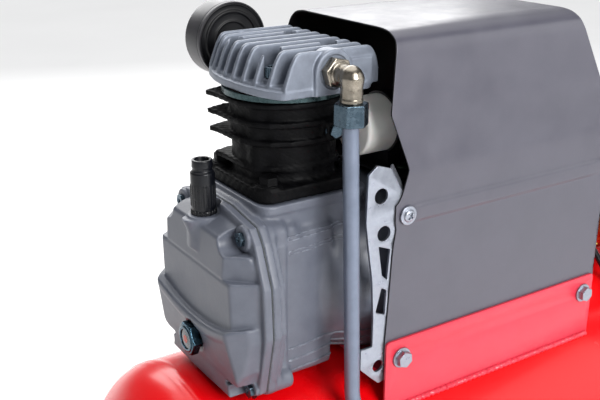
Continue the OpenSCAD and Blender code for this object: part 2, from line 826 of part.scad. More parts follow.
module outlet_elbow() {
  drop = elbow_z - 18;
  color("#c9bda6") place() difference() {
    union() {
      translate([elbow_x, -54, elbow_z]) rotate([90, 0, 0]) hex_bar(20, 6);
      along_y(elbow_x, elbow_y, elbow_z, 7.5, -elbow_y - 54);
      along_y(elbow_x, -54, elbow_z, 6.48, 8);
      translate([elbow_x, elbow_y, elbow_z]) sphere(r = 8);
      along_z(elbow_x, elbow_y, drop, 8, elbow_z - drop);
    }
    along_y(elbow_x, elbow_y, elbow_z, 4, 40);
    along_z(elbow_x, elbow_y, drop - cut, 4, elbow_z - drop + cut);
  }
}

nut_h = 16;
module tube_nuts() {
  color("#8fb0c4") place() {
    difference() {
      translate([elbow_x, elbow_y, elbow_z - 18 - nut_h]) hex_bar(22, nut_h);
      along_z(elbow_x, elbow_y, elbow_z - 19 - nut_h, delivery_r + 0.3, nut_h + 2);
    }
    difference() {
      translate([elbow_x, valve_y, tank_z + 20]) hex_bar(22, nut_h);
      along_z(elbow_x, valve_y, tank_z + 19, delivery_r + 0.3, nut_h + 2);
    }
  }
}

// The tube runs down beside the crankcase, then out around the tank to the check valve
function delivery_path() = rounded([
  [elbow_x, elbow_y, elbow_z - 19],
  [elbow_x, elbow_y, elbow_z - 40],
  [elbow_x, elbow_y - 9, -82],
  [elbow_x, valve_y, tank_z + 62],
  [elbow_x, valve_y, tank_z + 21]], 24, 6);

module delivery_tube() {
  color("#8d9296") place() swept_tube(delivery_path(), delivery_r, 1.5, 20, [1, 0, 0]);
}

module check_valve() {
  color("gold") place() difference() {
    union() {
      translate([elbow_x, -tank_r - boss_h, tank_z]) rotate([90, 0, 0]) hex_bar(26, 10);
      along_y(elbow_x, valve_y - 12, tank_z, 12, 26);
      along_y(elbow_x, -tank_r - boss_h - cut, tank_z, 8.98, 12);
      along_z(elbow_x, valve_y, tank_z, 9, 20);
      along_x(elbow_x, valve_y, tank_z, 5, 20);
    }
    along_y(elbow_x, valve_y - 8, tank_z, 6, 50);
    along_z(elbow_x, valve_y, tank_z, 5, 30);
    along_x(elbow_x, valve_y, tank_z, 2, 30);
  }
}

// A point beside the tank, at an angle from the vertical and a distance off its skin
function beside(x, angle, off) =
  [x, -(tank_r + off) * sin(angle), tank_z + (tank_r + off) * cos(angle)];

function unloader_path() = rounded([
  [elbow_x + 20.5, valve_y, tank_z],
  [elbow_x + 50, valve_y, tank_z],
  beside(elbow_x + 90, 84, 8),
  beside(ctrl_x - 70, 84, 8),
  beside(ctrl_x - 34, 62, 10),
  beside(ctrl_x - 28, 40, 10),
  beside(ctrl_x - 28, 18, 10),
  [ctrl_x - 28, -22, -pump_h + 30],
  [ctrl_x - 28, -22, switch_z - 0.5]], 12, 3);

module unloader_tube() {
  color("#d8dadb") place() swept_tube(unloader_path(), 3, 1, 12, [0.1, 0.3, 1]);
}

// ---------- motor ----------

module stator() {
  color("#4a4d52") place() {
    difference() {
      along_x(stack_x, 0, 0, stator_r, stack_len);
      along_x(stack_x - cut, 0, 0, rotor_r + 0.4, stack_len + 2 * cut);
    }
    for (x = [stack_x - 14, stack_x + stack_len]) difference() {
      along_x(x, 0, 0, 56, 14);
      along_x(x - cut, 0, 0, 40, 16);
    }
  }
}

module rotor() {
  color("#8c8f93") place() difference() {
    along_x(stack_x, 0, 0, rotor_r, stack_len);
    along_x(stack_x - cut, 0, 0, shaft_r, stack_len + 2 * cut);
  }
}

module rear_shield() {
  color("#8a8d92") place() difference() {
    union() {
      difference() {
        union() {
          along_x(shield_x, 0, 0, 74, 22);
          along_x(shield_x, 0, 0, 65, shield_len);
        }
        block([shield_x - cut, -100, -100], [shield_x + 60, 100, deck_top]);
      }
      for (y = [-1, 1], z = [-1, 1]) along_x(shield_x, y * tie_at, z * tie_at, 8, 22);
      block([shield_x + 23, -foot_y - 8, deck_top], [shield_x + shield_len, foot_y + 8, deck_top + 9]);
    }
    along_x(shield_x - cut, 0, 0, stator_r + 0.02, 11);
    along_x(shield_x + 5, 0, 0, 60, shield_len - 10 - bearing_w);
    along_x(shield_x, 0, 0, shaft_r + 2, 60);
    along_x(shield_x + shield_len - bearing_w, 0, 0, 23.5, bearing_w + cut);
    for (a = [0:45:315]) rotate([a, 0, 0]) along_x(shield_x + shield_len - bearing_w - 6, 0, 42, 8, 60);
    for (y = [-1, 1], z = [-1, 1]) along_x(shield_x - cut, y * tie_at, z * tie_at, 3.4, 60);
    for (y = [-foot_y, foot_y]) along_z(foot_xs[1], y, deck_top - cut, 4.2, 12);
  }
}

module fan() {
  x = shield_x + shield_len + 3;
  color("#202226") place() difference() {
    union() {
      along_x(x, 0, 0, 17, 14);
      along_x(x, 0, 0, 57, 2);
      for (a = [0:45:315]) rotate([a, 0, 0]) block([x, -1.2, 14], [x + 13, 1.2, 57]);
    }
    along_x(x - cut, 0, 0, shaft_r, 20);
  }
}

module motor_bolts() {
  color("#b9bec4") place() {
    for (y = [-1, 1], z = [-1, 1]) translate([shield_x + 22, y * tie_at, z * tie_at]) {
      rotate([0, 90, 0]) hex_bar(10, 5);
      along_x(-(shield_x + 22 - 141), 0, 0, 3, shield_x + 22 - 141);
    }
    for (x = foot_xs, y = [-foot_y, foot_y]) {
      translate([x, y, deck_top + 9]) hex_bar(13, 6);
      along_z(x, y, deck_top - 11, 4, 21);
      difference() {
        translate([x, y, deck_top - deck_t - 7]) hex_bar(13, 7);
        along_z(x, y, deck_top - deck_t - 8, 4 + thread_gap, 9);
      }
    }
  }
}

cap_y = -30;
tray_z = bell_r + 2;
cap_r = cap_d / 2;
cap_z = tray_z + 15.6 + cap_r;
cap_x = cyl_x + barrel_r + 1.5;
cap_len = 98;

module capacitor() {
  color("#e8e8e6") place() {
    along_x(cap_x, cap_y, cap_z, cap_r, cap_len);
    for (y = [-8, 8]) block([cap_x + cap_len, cap_y + y - 0.4, cap_z - 3],
      [cap_x + cap_len + 9, cap_y + y + 0.4, cap_z + 3]);
  }
}

module capacitor_tray() {
  color("#1b1a1c") place() {
    difference() {
      union() {
        block([118, cap_y - 34, tray_z], [205, cap_y + 60, tray_z + 2]);
        for (x = [125, 180]) {
          block([x, cap_y - 12, tray_z], [x + 14, cap_y + 12, cap_z]);
          along_x(x, cap_y, cap_z, cap_r + 2, 14);
        }
        along_z(141, 0, bell_r - 2, 6, 5);
        block([168, -40, 40], [170.5, 40, tray_z + 1]);
      }
      along_x(100, cap_y, cap_z, cap_r, 150);
      along_x(100, 0, 0, bell_r, 68);
      along_x(100, 0, 0, stator_r, 150);
    }
    along_z(141, -40, tray_z + 2 + thread_gap, 6, 1.5);
  }
}

// ---------- hood, brackets and their screws ----------

// Half of the hood's cross-section, drawn in by d
function hood_half(d) = [[0, hood_top - d], [52, hood_top - d], [62, hood_top - 2.5 - d],
  [69.5 - d * 0.8, hood_top - 7 - d * 0.6], [72 - d, hood_top - 14], [77 - d, 141], [hood_w - d, 100],
  [hood_w - d, hood_foot]];

// Side view of the hood's stepped front edge and its rear end, (x, z)
hood_side = [[107, hood_top + 5], [99, 141], [111.5, 100], [103, 76], [101, 55], [94, -38],
  [94, hood_foot - 5], [hood_end, hood_foot - 5], [hood_end, 120], [hood_end - 40, hood_top + 5]];

module hood() {
  color("#5d5a5c") place() difference() {
    intersection() {
      difference() {
        prism_x(90, hood_len + 20) polygon(whole_open(hood_half(0)));
        difference() {
          prism_x(80, hood_len + 60) polygon(whole_open(hood_half(sheet_t)));
          // the rear wall, in two flat panels
          prism_y(200, 400) polygon([[hood_end - sheet_t, hood_foot - 8],
            [hood_end + 60, hood_foot - 8], [hood_end + 60, hood_top + 60],
            [hood_end - 40 - sheet_t, hood_top + 5], [hood_end - sheet_t, 120]]);
        }
      }
      prism_y(200, 400) polygon(hood_side);
    }
    along_y(screw_x, -100, screw_z, 3.2, 200);
    for (x = [bolt_x, rear_bolt_x]) along_y(x, -100, bolt_z, 4.2, 200);
    // air slots in the rear wall
    for (z = [-30:14:96]) block([hood_end - 10, -55, z], [hood_end + 10, 55, z + 6]);
  }
}

function whole_open(half) = concat(half, [for (i = [len(half) - 1:-1:1]) [-half[i][0], half[i][1]]]);

module side_brackets() {
  outer = hood_w - sheet_t - 0.1;
  color("#d9dcde") place() both_sides() difference() {
    union() {
      prism_y(-outer + bracket_t, bracket_t) difference() {
        polygon([[75, 102], [83, 108], [95, 104], [107, 82], [121, 78], [121, 52], [108, 45],
          [103, -40], [119, -45], [119, -60], [104, -62], [96, -72], [90, -73.5], [81, -65],
          [72, -56], [72, -39], [83, -39], [83, -15], [81, 18], [77, 43], [74, 65], [74.5, 86]]);
        translate([87, 84]) circle(r = 6);
        translate([90.5, 54]) circle(r = 6);
        polygon([[86, 44.5], [97, 40], [95, 15], [90, 20]]);
        polygon([[90, 9.5], [95, 6.5], [94, -14], [85, -10]]);
        translate([89, -57.5]) circle(r = 5);
      }
      block([72, -outer + bracket_t - cut, -56], [74.5, -case_hw - 4.5, -39]);
    }
    along_y(screw_x, -100, screw_z, 3.2, 200);
    along_y(bolt_x, -100, bolt_z, 4.2, 200);
  }
}

module hood_screws() {
  inner = hood_w - sheet_t - 0.1 - bracket_t;
  color("#cfd6dc") place() both_sides() {
    // pan screw with a wide washer, and its nut behind the bracket
    translate([screw_x, -hood_w, screw_z]) rotate([90, 0, 0]) {
      cylinder(r = 7.5, h = 2);
      cylinder(r = 5, h = 4.6);
      translate([0, 0, -14]) cylinder(r = 3, h = 15);
    }
    difference() {
      translate([screw_x, -inner + 6, screw_z]) rotate([90, 0, 0]) hex_bar(10, 6);
      along_y(screw_x, -inner - cut, screw_z, 3 + thread_gap, 9);
    }
    // hex flange bolts through saddle and hood
    for (x = [bolt_x, rear_bolt_x]) {
      translate([x, -hood_w - plate_w, bolt_z]) rotate([90, 0, 0]) {
        cylinder(r = 8.5, h = 1.6);
        hex_bar(12, 6.5);
        translate([0, 0, -15]) cylinder(r = 4, h = 16);
      }
    }
    difference() {
      translate([bolt_x, -inner + 6, bolt_z]) rotate([90, 0, 0]) hex_bar(13, 6);
      along_y(bolt_x, -inner - cut, bolt_z, 4 + thread_gap, 9);
    }
    difference() {
      translate([rear_bolt_x, -hood_w + sheet_t + 6, bolt_z]) rotate([90, 0, 0]) hex_bar(13, 6);
      along_y(rear_bolt_x, -hood_w, bolt_z, 4 + thread_gap, 9);
    }
  }
}

// ---------- controls ----------

module manifold() {
  c = [ctrl_x, 0, ctrl_z];
  color("gold") place() difference() {
    union() {
      block(c - block / 2, c + block / 2);
      translate([ctrl_x, 0, -pump_h + boss_h]) hex_bar(26, ctrl_z - 14 + pump_h - boss_h);
      along_z(ctrl_x, 0, -pump_h - 4, 9.98, 20);
      along_z(ctrl_x, 0, ctrl_z + 10, 8, switch_z - ctrl_z - 10);
    }
    along_z(ctrl_x, 0, -pump_h - 10, 6, 60);
    along_y(ctrl_x, -60, ctrl_z, 5, 120);
    along_x(ctrl_x, tank_gauge_y, ctrl_z, 3, 30);
  }
}

module pressure_switch() {
  c = [ctrl_x, 0, switch_z];
  color("#17181b") place() {
    block(c + [-33, -28, 0], c + [33, 28, 8]);
    difference() {
      translate(c + [-33, -28, 8 + thread_gap]) linear_extrude(66) offset(r = 8) offset(delta = -8) square([66, 56]);
      translate(c + [-30.5, -25.5, 7]) linear_extrude(64.5) offset(r = 6) offset(delta = -6)
        square([61, 51]);
      along_z(ctrl_x, 0, switch_z + 60, 6 + slide_gap, 30);
      along_y(ctrl_x, 20, switch_z + 24, 7, 20);
    }
    // cable gland, with its own nut
    difference() {
      union() {
        along_y(ctrl_x, 26, switch_z + 24, 7 - thread_gap, 8);
        translate([ctrl_x, 28 + thread_gap, switch_z + 24]) rotate([-90, 0, 0]) hex_bar(20, 5);
        along_y(ctrl_x, 33, switch_z + 24, 8.5, 12);
      }
      along_y(ctrl_x, 20, switch_z + 24, 4, 40);
    }
  }
}

module switch_knob() {
  color("red") place() {
    along_z(ctrl_x, 0, switch_z + 50, 6, 30);
    along_z(ctrl_x, 0, switch_z + 74.5, 13, 14);
  }
}

module regulator() {
  color("#b7babd") place() difference() {
    union() {
      along_z(ctrl_x, reg_y, ctrl_z - 24, 19, 48);
      along_z(ctrl_x, reg_y, ctrl_z + 20, 8, 16);
      along_y(ctrl_x, reg_y, ctrl_z, 9, -reg_y - 40);
      along_x(ctrl_x, reg_y, ctrl_z, 8, 28);
      along_y(ctrl_x, coupler_y, ctrl_z, 9, 20);
    }
    along_y(ctrl_x, coupler_y - cut, ctrl_z, 5, 80);
    along_x(ctrl_x, reg_y, ctrl_z, 3, 30);
  }
}

module regulator_knob() {
  color("#17181b") place() difference() {
    along_z(ctrl_x, reg_y, ctrl_z + 24 + part_gap, 20, 28);
    along_z(ctrl_x, reg_y, ctrl_z + 20, 8 + run_gap, 16.5);
    for (a = [0:30:330]) translate([ctrl_x, reg_y, 0]) rotate([0, 0, a])
      along_z(21.5, 0, ctrl_z + 28, 3, 30);
  }
}

gauges = [[tank_gauge_y, 15], [reg_y, 28]];

module gauge_cases() {
  for (g = gauges) color("#1a1b1d") place() {
    difference() {
      union() {
        along_x(gauge_x, g[0], ctrl_z, gauge_r, gauge_len);
        along_x(ctrl_x + g[1], g[0], ctrl_z, 6, gauge_x - ctrl_x - g[1] + cut);
      }
      along_x(gauge_x + 16, g[0], ctrl_z, gauge_r - 2, 20);
      along_x(ctrl_x + g[1] - cut, g[0], ctrl_z, 3, 20);
    }
    along_x(gauge_x + 16, g[0], ctrl_z, 1, 3);
    // the clear lens
    along_x(gauge_x + 23, g[0], ctrl_z, gauge_r - 2 - thread_gap, 2);
  }
}

module needle(y) {
  place() difference() {
    union() {
      along_x(gauge_x + 16.5, y, ctrl_z, 3, 2.5);
      translate([gauge_x + 17.5, y, ctrl_z]) rotate([135, 0, 0])
        block([0, -0.6, -5], [0.8, 0.6, gauge_r - 7]);
    }
    along_x(gauge_x + 16, y, ctrl_z, 1 + run_gap, 3.2);
  }
}

module tank_needle() {
  color("black") needle(tank_gauge_y);
}

module line_needle() {
  color("black") needle(reg_y);
}

module quick_coupler() {
  color("silver") place() difference() {
    union() {
      translate([ctrl_x, coupler_y, ctrl_z]) rotate([90, 0, 0]) hex_bar(21, 8);
      along_y(ctrl_x, coupler_y - 42, ctrl_z, 9.5, 36);
    }
    along_y(ctrl_x, coupler_y - 43, ctrl_z, socket_r, 24);
    along_y(ctrl_x, coupler_y - 30, ctrl_z, 4, 40);
  }
}

module coupler_sleeve() {
  color("#b9bec4") place() difference() {
    along_y(ctrl_x, coupler_y - 38, ctrl_z, 12.5, 24);
    along_y(ctrl_x, coupler_y - 40, ctrl_z, 9.5 + slide_gap, 30);
  }
}

module safety_valve() {
  color("gold") place() difference() {
    union() {
      translate([ctrl_x, 40, ctrl_z]) rotate([-90, 0, 0]) hex_bar(17, 9);
      along_y(ctrl_x, 48, ctrl_z, 7.5, 18);
    }
    along_y(ctrl_x, 39, ctrl_z, 3, 30);
  }
}

module safety_ring() {
  color("silver") place() {
    along_y(ctrl_x, 52, ctrl_z, 3 - slide_gap, 19);
    translate([ctrl_x, 78, ctrl_z]) rotate([0, 90, 0]) rotate_extrude() translate([8, 0]) circle(r = 1.2);
  }
}

tank();
saddle();
frame_tubes();
frame_brackets();
rear_legs();
rubber_feet();
handle_grips();
wheel_axle();
tyre();
rim();
drain_valve();
drain_lever();
crankcase();
crankcase_cover();
gaskets();
cover_screws();
oil_breather();
sight_glass();
cylinder_body();  // cylinder
cylinder_bolts();
valve_plate();
cylinder_head();
head_bolts();
piston();
piston_rings();
wrist_pin();
connecting_rod();
crank_pin();
crank_web();
shaft();
main_bearings();
filter_base();
filter_cover();
outlet_elbow();
tube_nuts();
delivery_tube();
check_valve();
unloader_tube();
stator();
rotor();
rear_shield();
fan();
motor_bolts();
capacitor();
capacitor_tray();
hood();
hood_screws();
side_brackets();
manifold();
pressure_switch();
switch_knob();
regulator();
regulator_knob();
gauge_cases();
tank_needle();
line_needle();
quick_coupler();
coupler_sleeve();
safety_valve();
safety_ring();
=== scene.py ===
"""The finished looks of a wheelbarrow air compressor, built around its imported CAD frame."""
import math
import bmesh
import bpy
import numpy as np
from mathutils import Matrix, Vector
from mathutils.bvhtree import BVHTree


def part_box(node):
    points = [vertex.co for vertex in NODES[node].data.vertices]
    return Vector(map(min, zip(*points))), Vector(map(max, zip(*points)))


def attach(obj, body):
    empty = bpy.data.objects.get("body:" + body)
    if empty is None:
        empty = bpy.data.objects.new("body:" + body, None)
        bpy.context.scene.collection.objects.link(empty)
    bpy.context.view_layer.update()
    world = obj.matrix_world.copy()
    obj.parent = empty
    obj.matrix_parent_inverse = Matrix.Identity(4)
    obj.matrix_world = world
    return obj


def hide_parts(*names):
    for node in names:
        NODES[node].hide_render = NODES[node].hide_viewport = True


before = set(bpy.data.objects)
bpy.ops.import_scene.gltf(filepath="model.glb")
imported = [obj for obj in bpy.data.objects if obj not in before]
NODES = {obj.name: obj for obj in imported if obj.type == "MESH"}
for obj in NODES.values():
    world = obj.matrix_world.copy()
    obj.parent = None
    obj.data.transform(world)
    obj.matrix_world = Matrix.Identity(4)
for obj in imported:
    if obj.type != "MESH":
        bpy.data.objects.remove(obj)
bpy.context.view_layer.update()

# ---------- the pump's own axes, in millimetres ----------
# X runs back along the crankshaft from the crankcase's front face, Y to the far side, Z up from the shaft.
DATUM = np.array([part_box("crankcase")[0].x, 0.0, (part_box("shaft")[0].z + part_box("shaft")[1].z) / 2])


def place(points):
    """Millimetres in the pump's axes to metres in the frame"""
    return np.asarray(points, float).reshape(-1, 3) * 0.001 + DATUM


def low_high(node):
    """A CAD node's box in the pump's millimetres"""
    lo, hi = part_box(node)
    return (np.array(lo) - DATUM) * 1000, (np.array(hi) - DATUM) * 1000


def middle(node, axis):
    """The middle of a CAD node's box along one axis, numbered 0 to 2"""
    return sum(low_high(node)[i][axis] for i in (0, 1)) / 2


def shown(name, data):
    """A new object in the scene"""
    made = bpy.data.objects.new(name, data)
    bpy.context.scene.collection.objects.link(made)
    return made


# ---------- camera ----------
camera = shown("camera", bpy.data.cameras.new("camera"))
camera.data.lens = 53.2
camera.data.sensor_width = 36.0
camera.data.clip_end = 50.0
camera.location = Vector(DATUM) + Vector((-0.29186, -0.55842, 0.30487))
camera.rotation_euler = Vector((0.511, 0.787, -0.347)).to_track_quat("-Z", "Y").to_euler()
bpy.context.scene.camera = camera

# ---------- materials ----------


def linear(code):
    """An sRGB hex colour as linear RGBA"""
    parts = [int(code[i:i + 2], 16) / 255 for i in (1, 3, 5)]
    return tuple(c / 12.92 if c <= 0.04045 else ((c + 0.055) / 1.055) ** 2.4 for c in parts) + (1.0,)


def add(tree, kind, values=None, links=None):
    """Adds a node, with its settings and unlinked inputs in values and its linked inputs in links"""
    made = tree.nodes.new(kind)
    for key, value in (values or {}).items():
        if isinstance(key, str) and hasattr(made, key):
            setattr(made, key, value)
        else:
            made.inputs[key].default_value = value
    for key, source in (links or {}).items():
        tree.links.new(source, made.inputs[key])
    return made


def surface(name, metallic=0.0, roughness=0.5, **sockets):
    """A material with its shader; returns the tree, the shader and object coordinates in metres"""
    made = bpy.data.materials.new(name)
    made.use_nodes = True
    tree = made.node_tree
    tree.nodes.clear()
    shader = add(tree, "ShaderNodeBsdfPrincipled", {"Metallic": metallic, "Roughness": roughness})
    for key, value in sockets.items():
        shader.inputs[key.replace("_", " ")].default_value = value
    add(tree, "ShaderNodeOutputMaterial", None, {"Surface": shader.outputs[0]})
    where = add(tree, "ShaderNodeTexCoord").outputs["Object"]
    return made, tree, shader, where


def grained(name, dark, light, patch_mm, grain_mm, depth_mm, rough, rough_span=0.12, metallic=0.0,
        second=None, **sockets):
    """A finish with cloudy patches between two colours, a fine grain in its height and an uneven gloss.
    second is a coarser (size, depth) in millimetres, for the waves of a sand mould or of sprayed paint."""
    made, tree, shader, where = surface(name, metallic, rough, **sockets)
    patches = add(tree, "ShaderNodeTexNoise", {"Scale": 1000 / patch_mm, "Detail": 5.0, "Roughness": 0.6},
            {"Vector": where})
    spread = add(tree, "ShaderNodeMapRange", {"From Min": 0.35, "From Max": 0.68}, {0: patches.outputs[0]})
    colour = add(tree, "ShaderNodeMix", {"data_type": "RGBA", 6: linear(dark), 7: linear(light)},
            {0: spread.outputs[0]})
    tree.links.new(colour.outputs[2], shader.inputs["Base Color"])
    gloss = add(tree, "ShaderNodeMapRange", {"From Min": 0.3, "From Max": 0.7,
            "To Min": rough - rough_span / 2, "To Max": rough + rough_span / 2}, {0: patches.outputs[0]})
    tree.links.new(gloss.outputs[0], shader.inputs["Roughness"])
    grain = add(tree, "ShaderNodeTexNoise", {"Scale": 1000 / grain_mm, "Detail": 3.0}, {"Vector": where})
    height = add(tree, "ShaderNodeBump", {"Strength": 1.0, "Distance": depth_mm / 1000},
            {"Height": grain.outputs[0]})
    if second:
        waves = add(tree, "ShaderNodeTexNoise", {"Scale": 1000 / second[0], "Detail": 2.0}, {"Vector": where})
        height = add(tree, "ShaderNodeBump", {"Strength": 1.0, "Distance": second[1] / 1000},
                {"Height": waves.outputs[0], "Normal": height.outputs[0]})
    tree.links.new(height.outputs[0], shader.inputs["Normal"])
    return made


def worn_edges(made, bare, start=0.53, end=0.60, rough=0.35):
    """Rubs the outer edges of a finely meshed casting through to a brighter layer"""
    tree = made.node_tree
    shader = next(n for n in tree.nodes if n.type == "BSDF_PRINCIPLED")
    under = shader.inputs["Base Color"].links[0].from_socket
    point = add(tree, "ShaderNodeNewGeometry").outputs["Pointiness"]
    where = next(n for n in tree.nodes if n.type == "TEX_COORD").outputs["Object"]
    breaks = add(tree, "ShaderNodeTexNoise", {"Scale": 260.0, "Detail": 4.0}, {"Vector": where})
    edge = add(tree, "ShaderNodeMapRange", {"From Min": start, "From Max": end}, {0: point})
    keep = add(tree, "ShaderNodeMapRange", {"From Min": 0.42, "From Max": 0.6}, {0: breaks.outputs[0]})
    mask = add(tree, "ShaderNodeMath", {"operation": "MULTIPLY"}, {0: edge.outputs[0], 1: keep.outputs[0]})
    colour = add(tree, "ShaderNodeMix", {"data_type": "RGBA", 7: linear(bare)},
            {0: mask.outputs[0], 6: under})
    tree.links.new(colour.outputs[2], shader.inputs["Base Color"])
    return made


# Die-cast aluminium under grey-blue enamel: a fine pebbled grain, soft sheen, edges rubbed paler
case_paint = worn_edges(grained("painted_die_cast_aluminium", "#525661", "#5a5e69", 14, 1.1, 0.05, 0.42,
        second=(5.0, 0.10), IOR=1.5), "#8d919d")
# The same alloy left bare and tumbled on the head: cooler, with a slight metal glint
head_metal = worn_edges(grained("tumbled_die_cast_aluminium", "#6d737f", "#79808c", 9, 0.9, 0.05, 0.45,
        metallic=0.35, second=(4.0, 0.10)), "#a4aab6")
# Sand-cast grey iron under stove black: rough sand grain that breaks up a low gloss
black_iron = grained("sand_cast_iron_stove_black", "#030304", "#09090b", 8, 1.3, 0.2, 0.55, 0.2,
        second=(4.5, 0.28), IOR=1.4, Specular_IOR_Level=0.12)
# Gloss red powder coat on rolled steel: deep colour, faint orange peel, clear top
tank_red = grained("red_powder_coat", "#dc0209", "#e2030b", 120, 1.6, 0.006, 0.26, 0.06,
        second=(6.0, 0.03), IOR=1.5, Specular_IOR_Level=0.35, Coat_Weight=0.1, Coat_Roughness=0.08)
# The welded saddle in the same red powder coat, its colour painted pinker: a painted sheen for the pale shine
# of its flat faces
saddle_red_with_painted_sheen = grained("red_powder_coat_painted_sheen", "#c2283b", "#c83043", 60, 1.2, 0.01, 0.34, 0.1,
        second=(5.0, 0.04), IOR=1.5)
# The barrow's tubes under satin black enamel: long soft highlights, a little dust
barrow_black = grained("satin_black_enamel", "#0d0d0f", "#19191c", 40, 1.5, 0.01, 0.36, 0.14,
        second=(7.0, 0.03), IOR=1.5)
# Vacuum formed hood steel in satin grey: hammered very lightly, rubbed and dusty
hood_grey = grained("satin_grey_enamel_on_sheet", "#474650", "#4d4c56", 34, 0.9, 0.02, 0.36, 0.16,
        second=(16.0, 0.06), IOR=1.5)
# The same sheet's inner side and its cut edges in near-black: painted shade for the dark inside of the hood
hood_inside_painted_shade = grained("painted_shade_hood_inside", "#050506", "#0b0b0d", 20, 0.8, 0.03, 0.6, IOR=1.5,
        Specular_IOR_Level=0.25)
# Stamped steel with bright zinc: cloudy spangle, soft mirror
bright_zinc = grained("bright_zinc_plate", "#8d919c", "#999ea8", 7, 0.8, 0.012, 0.33, 0.16, metallic=0.85,
        second=(5.0, 0.04))
# Blue passivated zinc on fasteners: a cold dark sheen
blue_zinc = grained("blue_passivated_zinc", "#3e4d58", "#54636e", 4, 0.6, 0.01, 0.27, 0.14, metallic=1.0)
# Nickelled brass of the elbow: warm silver, softly cast
nickel_brass = grained("nickelled_brass", "#7d766b", "#968f84", 5, 0.6, 0.02, 0.3, 0.14, metallic=1.0,
        second=(3.0, 0.05))
# Turned brass: yellow with fine turning lines
brass = grained("turned_brass", "#b08a45", "#c9a55c", 5, 0.4, 0.01, 0.26, 0.12, metallic=1.0)
# Ground and turned steel of the shaft, pins and bearings
steel = grained("ground_steel", "#8d9196", "#a5a9ae", 6, 0.5, 0.006, 0.26, 0.1, metallic=1.0)
# Bare grey iron of the crank web and rear brackets
iron = grained("bare_grey_iron", "#4a4a4c", "#5c5c5f", 7, 0.9, 0.05, 0.48, 0.15, metallic=0.8)
# Machined aluminium of the piston and rod
machined = grained("machined_aluminium", "#a3a6ab", "#babdc2", 8, 0.5, 0.008, 0.3, 0.12, metallic=1.0)
# Moulded black nylon and ABS: fine spark-eroded grain
black_plastic = grained("moulded_black_abs", "#08080a", "#0f0f12", 15, 0.5, 0.03, 0.42, 0.1, IOR=1.48,
        Specular_IOR_Level=0.35)
# The breather's moulded nylon, a little bluer and glossier
cap_plastic = grained("moulded_black_nylon", "#05060a", "#0b0d13", 10, 0.6, 0.02, 0.3, 0.1, IOR=1.53,
        Specular_IOR_Level=0.3)
# Red moulded knobs
red_plastic = grained("moulded_red_abs", "#b30e10", "#bd1517", 14, 0.5, 0.02, 0.3, 0.08, IOR=1.49)
# White moulded capacitor can: thin skin, slightly translucent plastic
white_plastic = grained("moulded_white_abs", "#dcdcd8", "#e8e8e4", 22, 0.6, 0.015, 0.35, 0.08, IOR=1.49,
        Subsurface_Weight=0.08, Subsurface_Scale=0.002)
# Green moulded plug
green_plastic = grained("moulded_green_nylon", "#0b2a12", "#12371a", 6, 0.5, 0.02, 0.32, 0.1, IOR=1.5)
# Vulcanised rubber of feet and grips, bloomed grey
rubber = grained("moulded_rubber", "#121213", "#1d1d1e", 12, 0.6, 0.05, 0.62, 0.14, IOR=1.52)
# Tyre rubber: darker, with a dusty bloom
tyre_rubber = grained("tyre_rubber", "#101011", "#1e1e1f", 18, 0.8, 0.06, 0.66, 0.16, second=(6.0, 0.06),
        IOR=1.52)
# Pressed steel wheel in silver lacquer
rim_silver = grained("silver_lacquer_on_pressed_steel", "#9b9ea3", "#b0b3b7", 18, 0.5, 0.008, 0.36, 0.1,
        metallic=0.7, second=(8.0, 0.03))
# Lacquered filter drum
drum_grey = grained("dark_grey_lacquer", "#2d2c30", "#38373b", 18, 0.7, 0.02, 0.4, 0.1, IOR=1.5)
# Dull grey coated aluminium pipe
pipe_grey = grained("grey_coated_pipe", "#687182", "#727b8c", 12, 0.7, 0.03, 0.4, 0.16, metallic=0.45,
        second=(5.0, 0.05))
# Nylon air line
nylon = grained("clear_black_nylon_line", "#101114", "#191b20", 12, 0.5, 0.01, 0.28, 0.08, IOR=1.53)
# Stacked motor laminations, seen as fine lines along the shaft
laminations = grained("stacked_steel_laminations", "#3b3c3f", "#54565a", 5, 0.6, 0.04, 0.5, metallic=0.7)

# The red-orange float behind the sight glass
level_red = grained("red_orange_float", "#a83420", "#c2472c", 3, 0.5, 0.01, 0.4, IOR=1.5)
# Dark teal passivated zinc of the union nuts and the glass's body
teal_zinc = grained("teal_passivated_zinc", "#22353f", "#466070", 4, 0.6, 0.01, 0.24, 0.12, metallic=1.0)
# Clear acrylic lens: thin, glossy, almost no colour
clear_lens = grained("clear_acrylic_lens", "#f3f5f5", "#fbfcfc", 8, 0.8, 0.001, 0.05, 0.03, IOR=1.49,
        Transmission_Weight=1.0)
# The sight glass's own lens: smoked plastic with oil behind it, glossy and dark
smoked_lens = grained("oily_polycarbonate_lens", "#30363c", "#444a50", 5, 0.8, 0.002, 0.12, 0.05, IOR=1.58)
# Enamelled dial plate: matt white print ground
dial_white = grained("enamelled_dial", "#eeeeea", "#f6f6f2", 10, 0.8, 0.002, 0.55, 0.05, IOR=1.5)
# Printed black scale
dial_ink = grained("printed_scale_ink", "#0d0d0d", "#161616", 5, 0.5, 0.002, 0.5, 0.05, IOR=1.5)
# Zinc die casting of the regulator, vibratory polished
cast_zinc = grained("polished_zinc_casting", "#9ba0a5", "#b3b8bc", 8, 0.7, 0.02, 0.3, 0.12, metallic=0.85,
        second=(4, 0.04))
# The spring steel reeds and blued plate under the head
valve_steel = grained("teal_blued_valve_plate", "#2f4144", "#47595b", 5, 0.6, 0.01, 0.28, 0.12, metallic=0.75)
# Painted pointers of the gauges
pointer_black = grained("painted_pointer", "#161616", "#202020", 3, 0.4, 0.002, 0.4, IOR=1.5)

# ---------- making pieces ----------


def finish_piece(obj, slot, *cad_nodes, body="chassis"):
    """Hangs a finished piece on the body it rides on and hides the CAD nodes it stands for; slot is not used"""
    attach(obj, body)
    if cad_nodes:
        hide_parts(*cad_nodes)
    return obj


def shade(mesh, sharp):
    """Smooth shading, kept crisp where faces meet at more than an angle in degrees"""
    mesh.polygons.foreach_set("use_smooth", [True] * len(mesh.polygons))
    if sharp:
        mesh.set_sharp_from_angle(angle=math.radians(sharp))


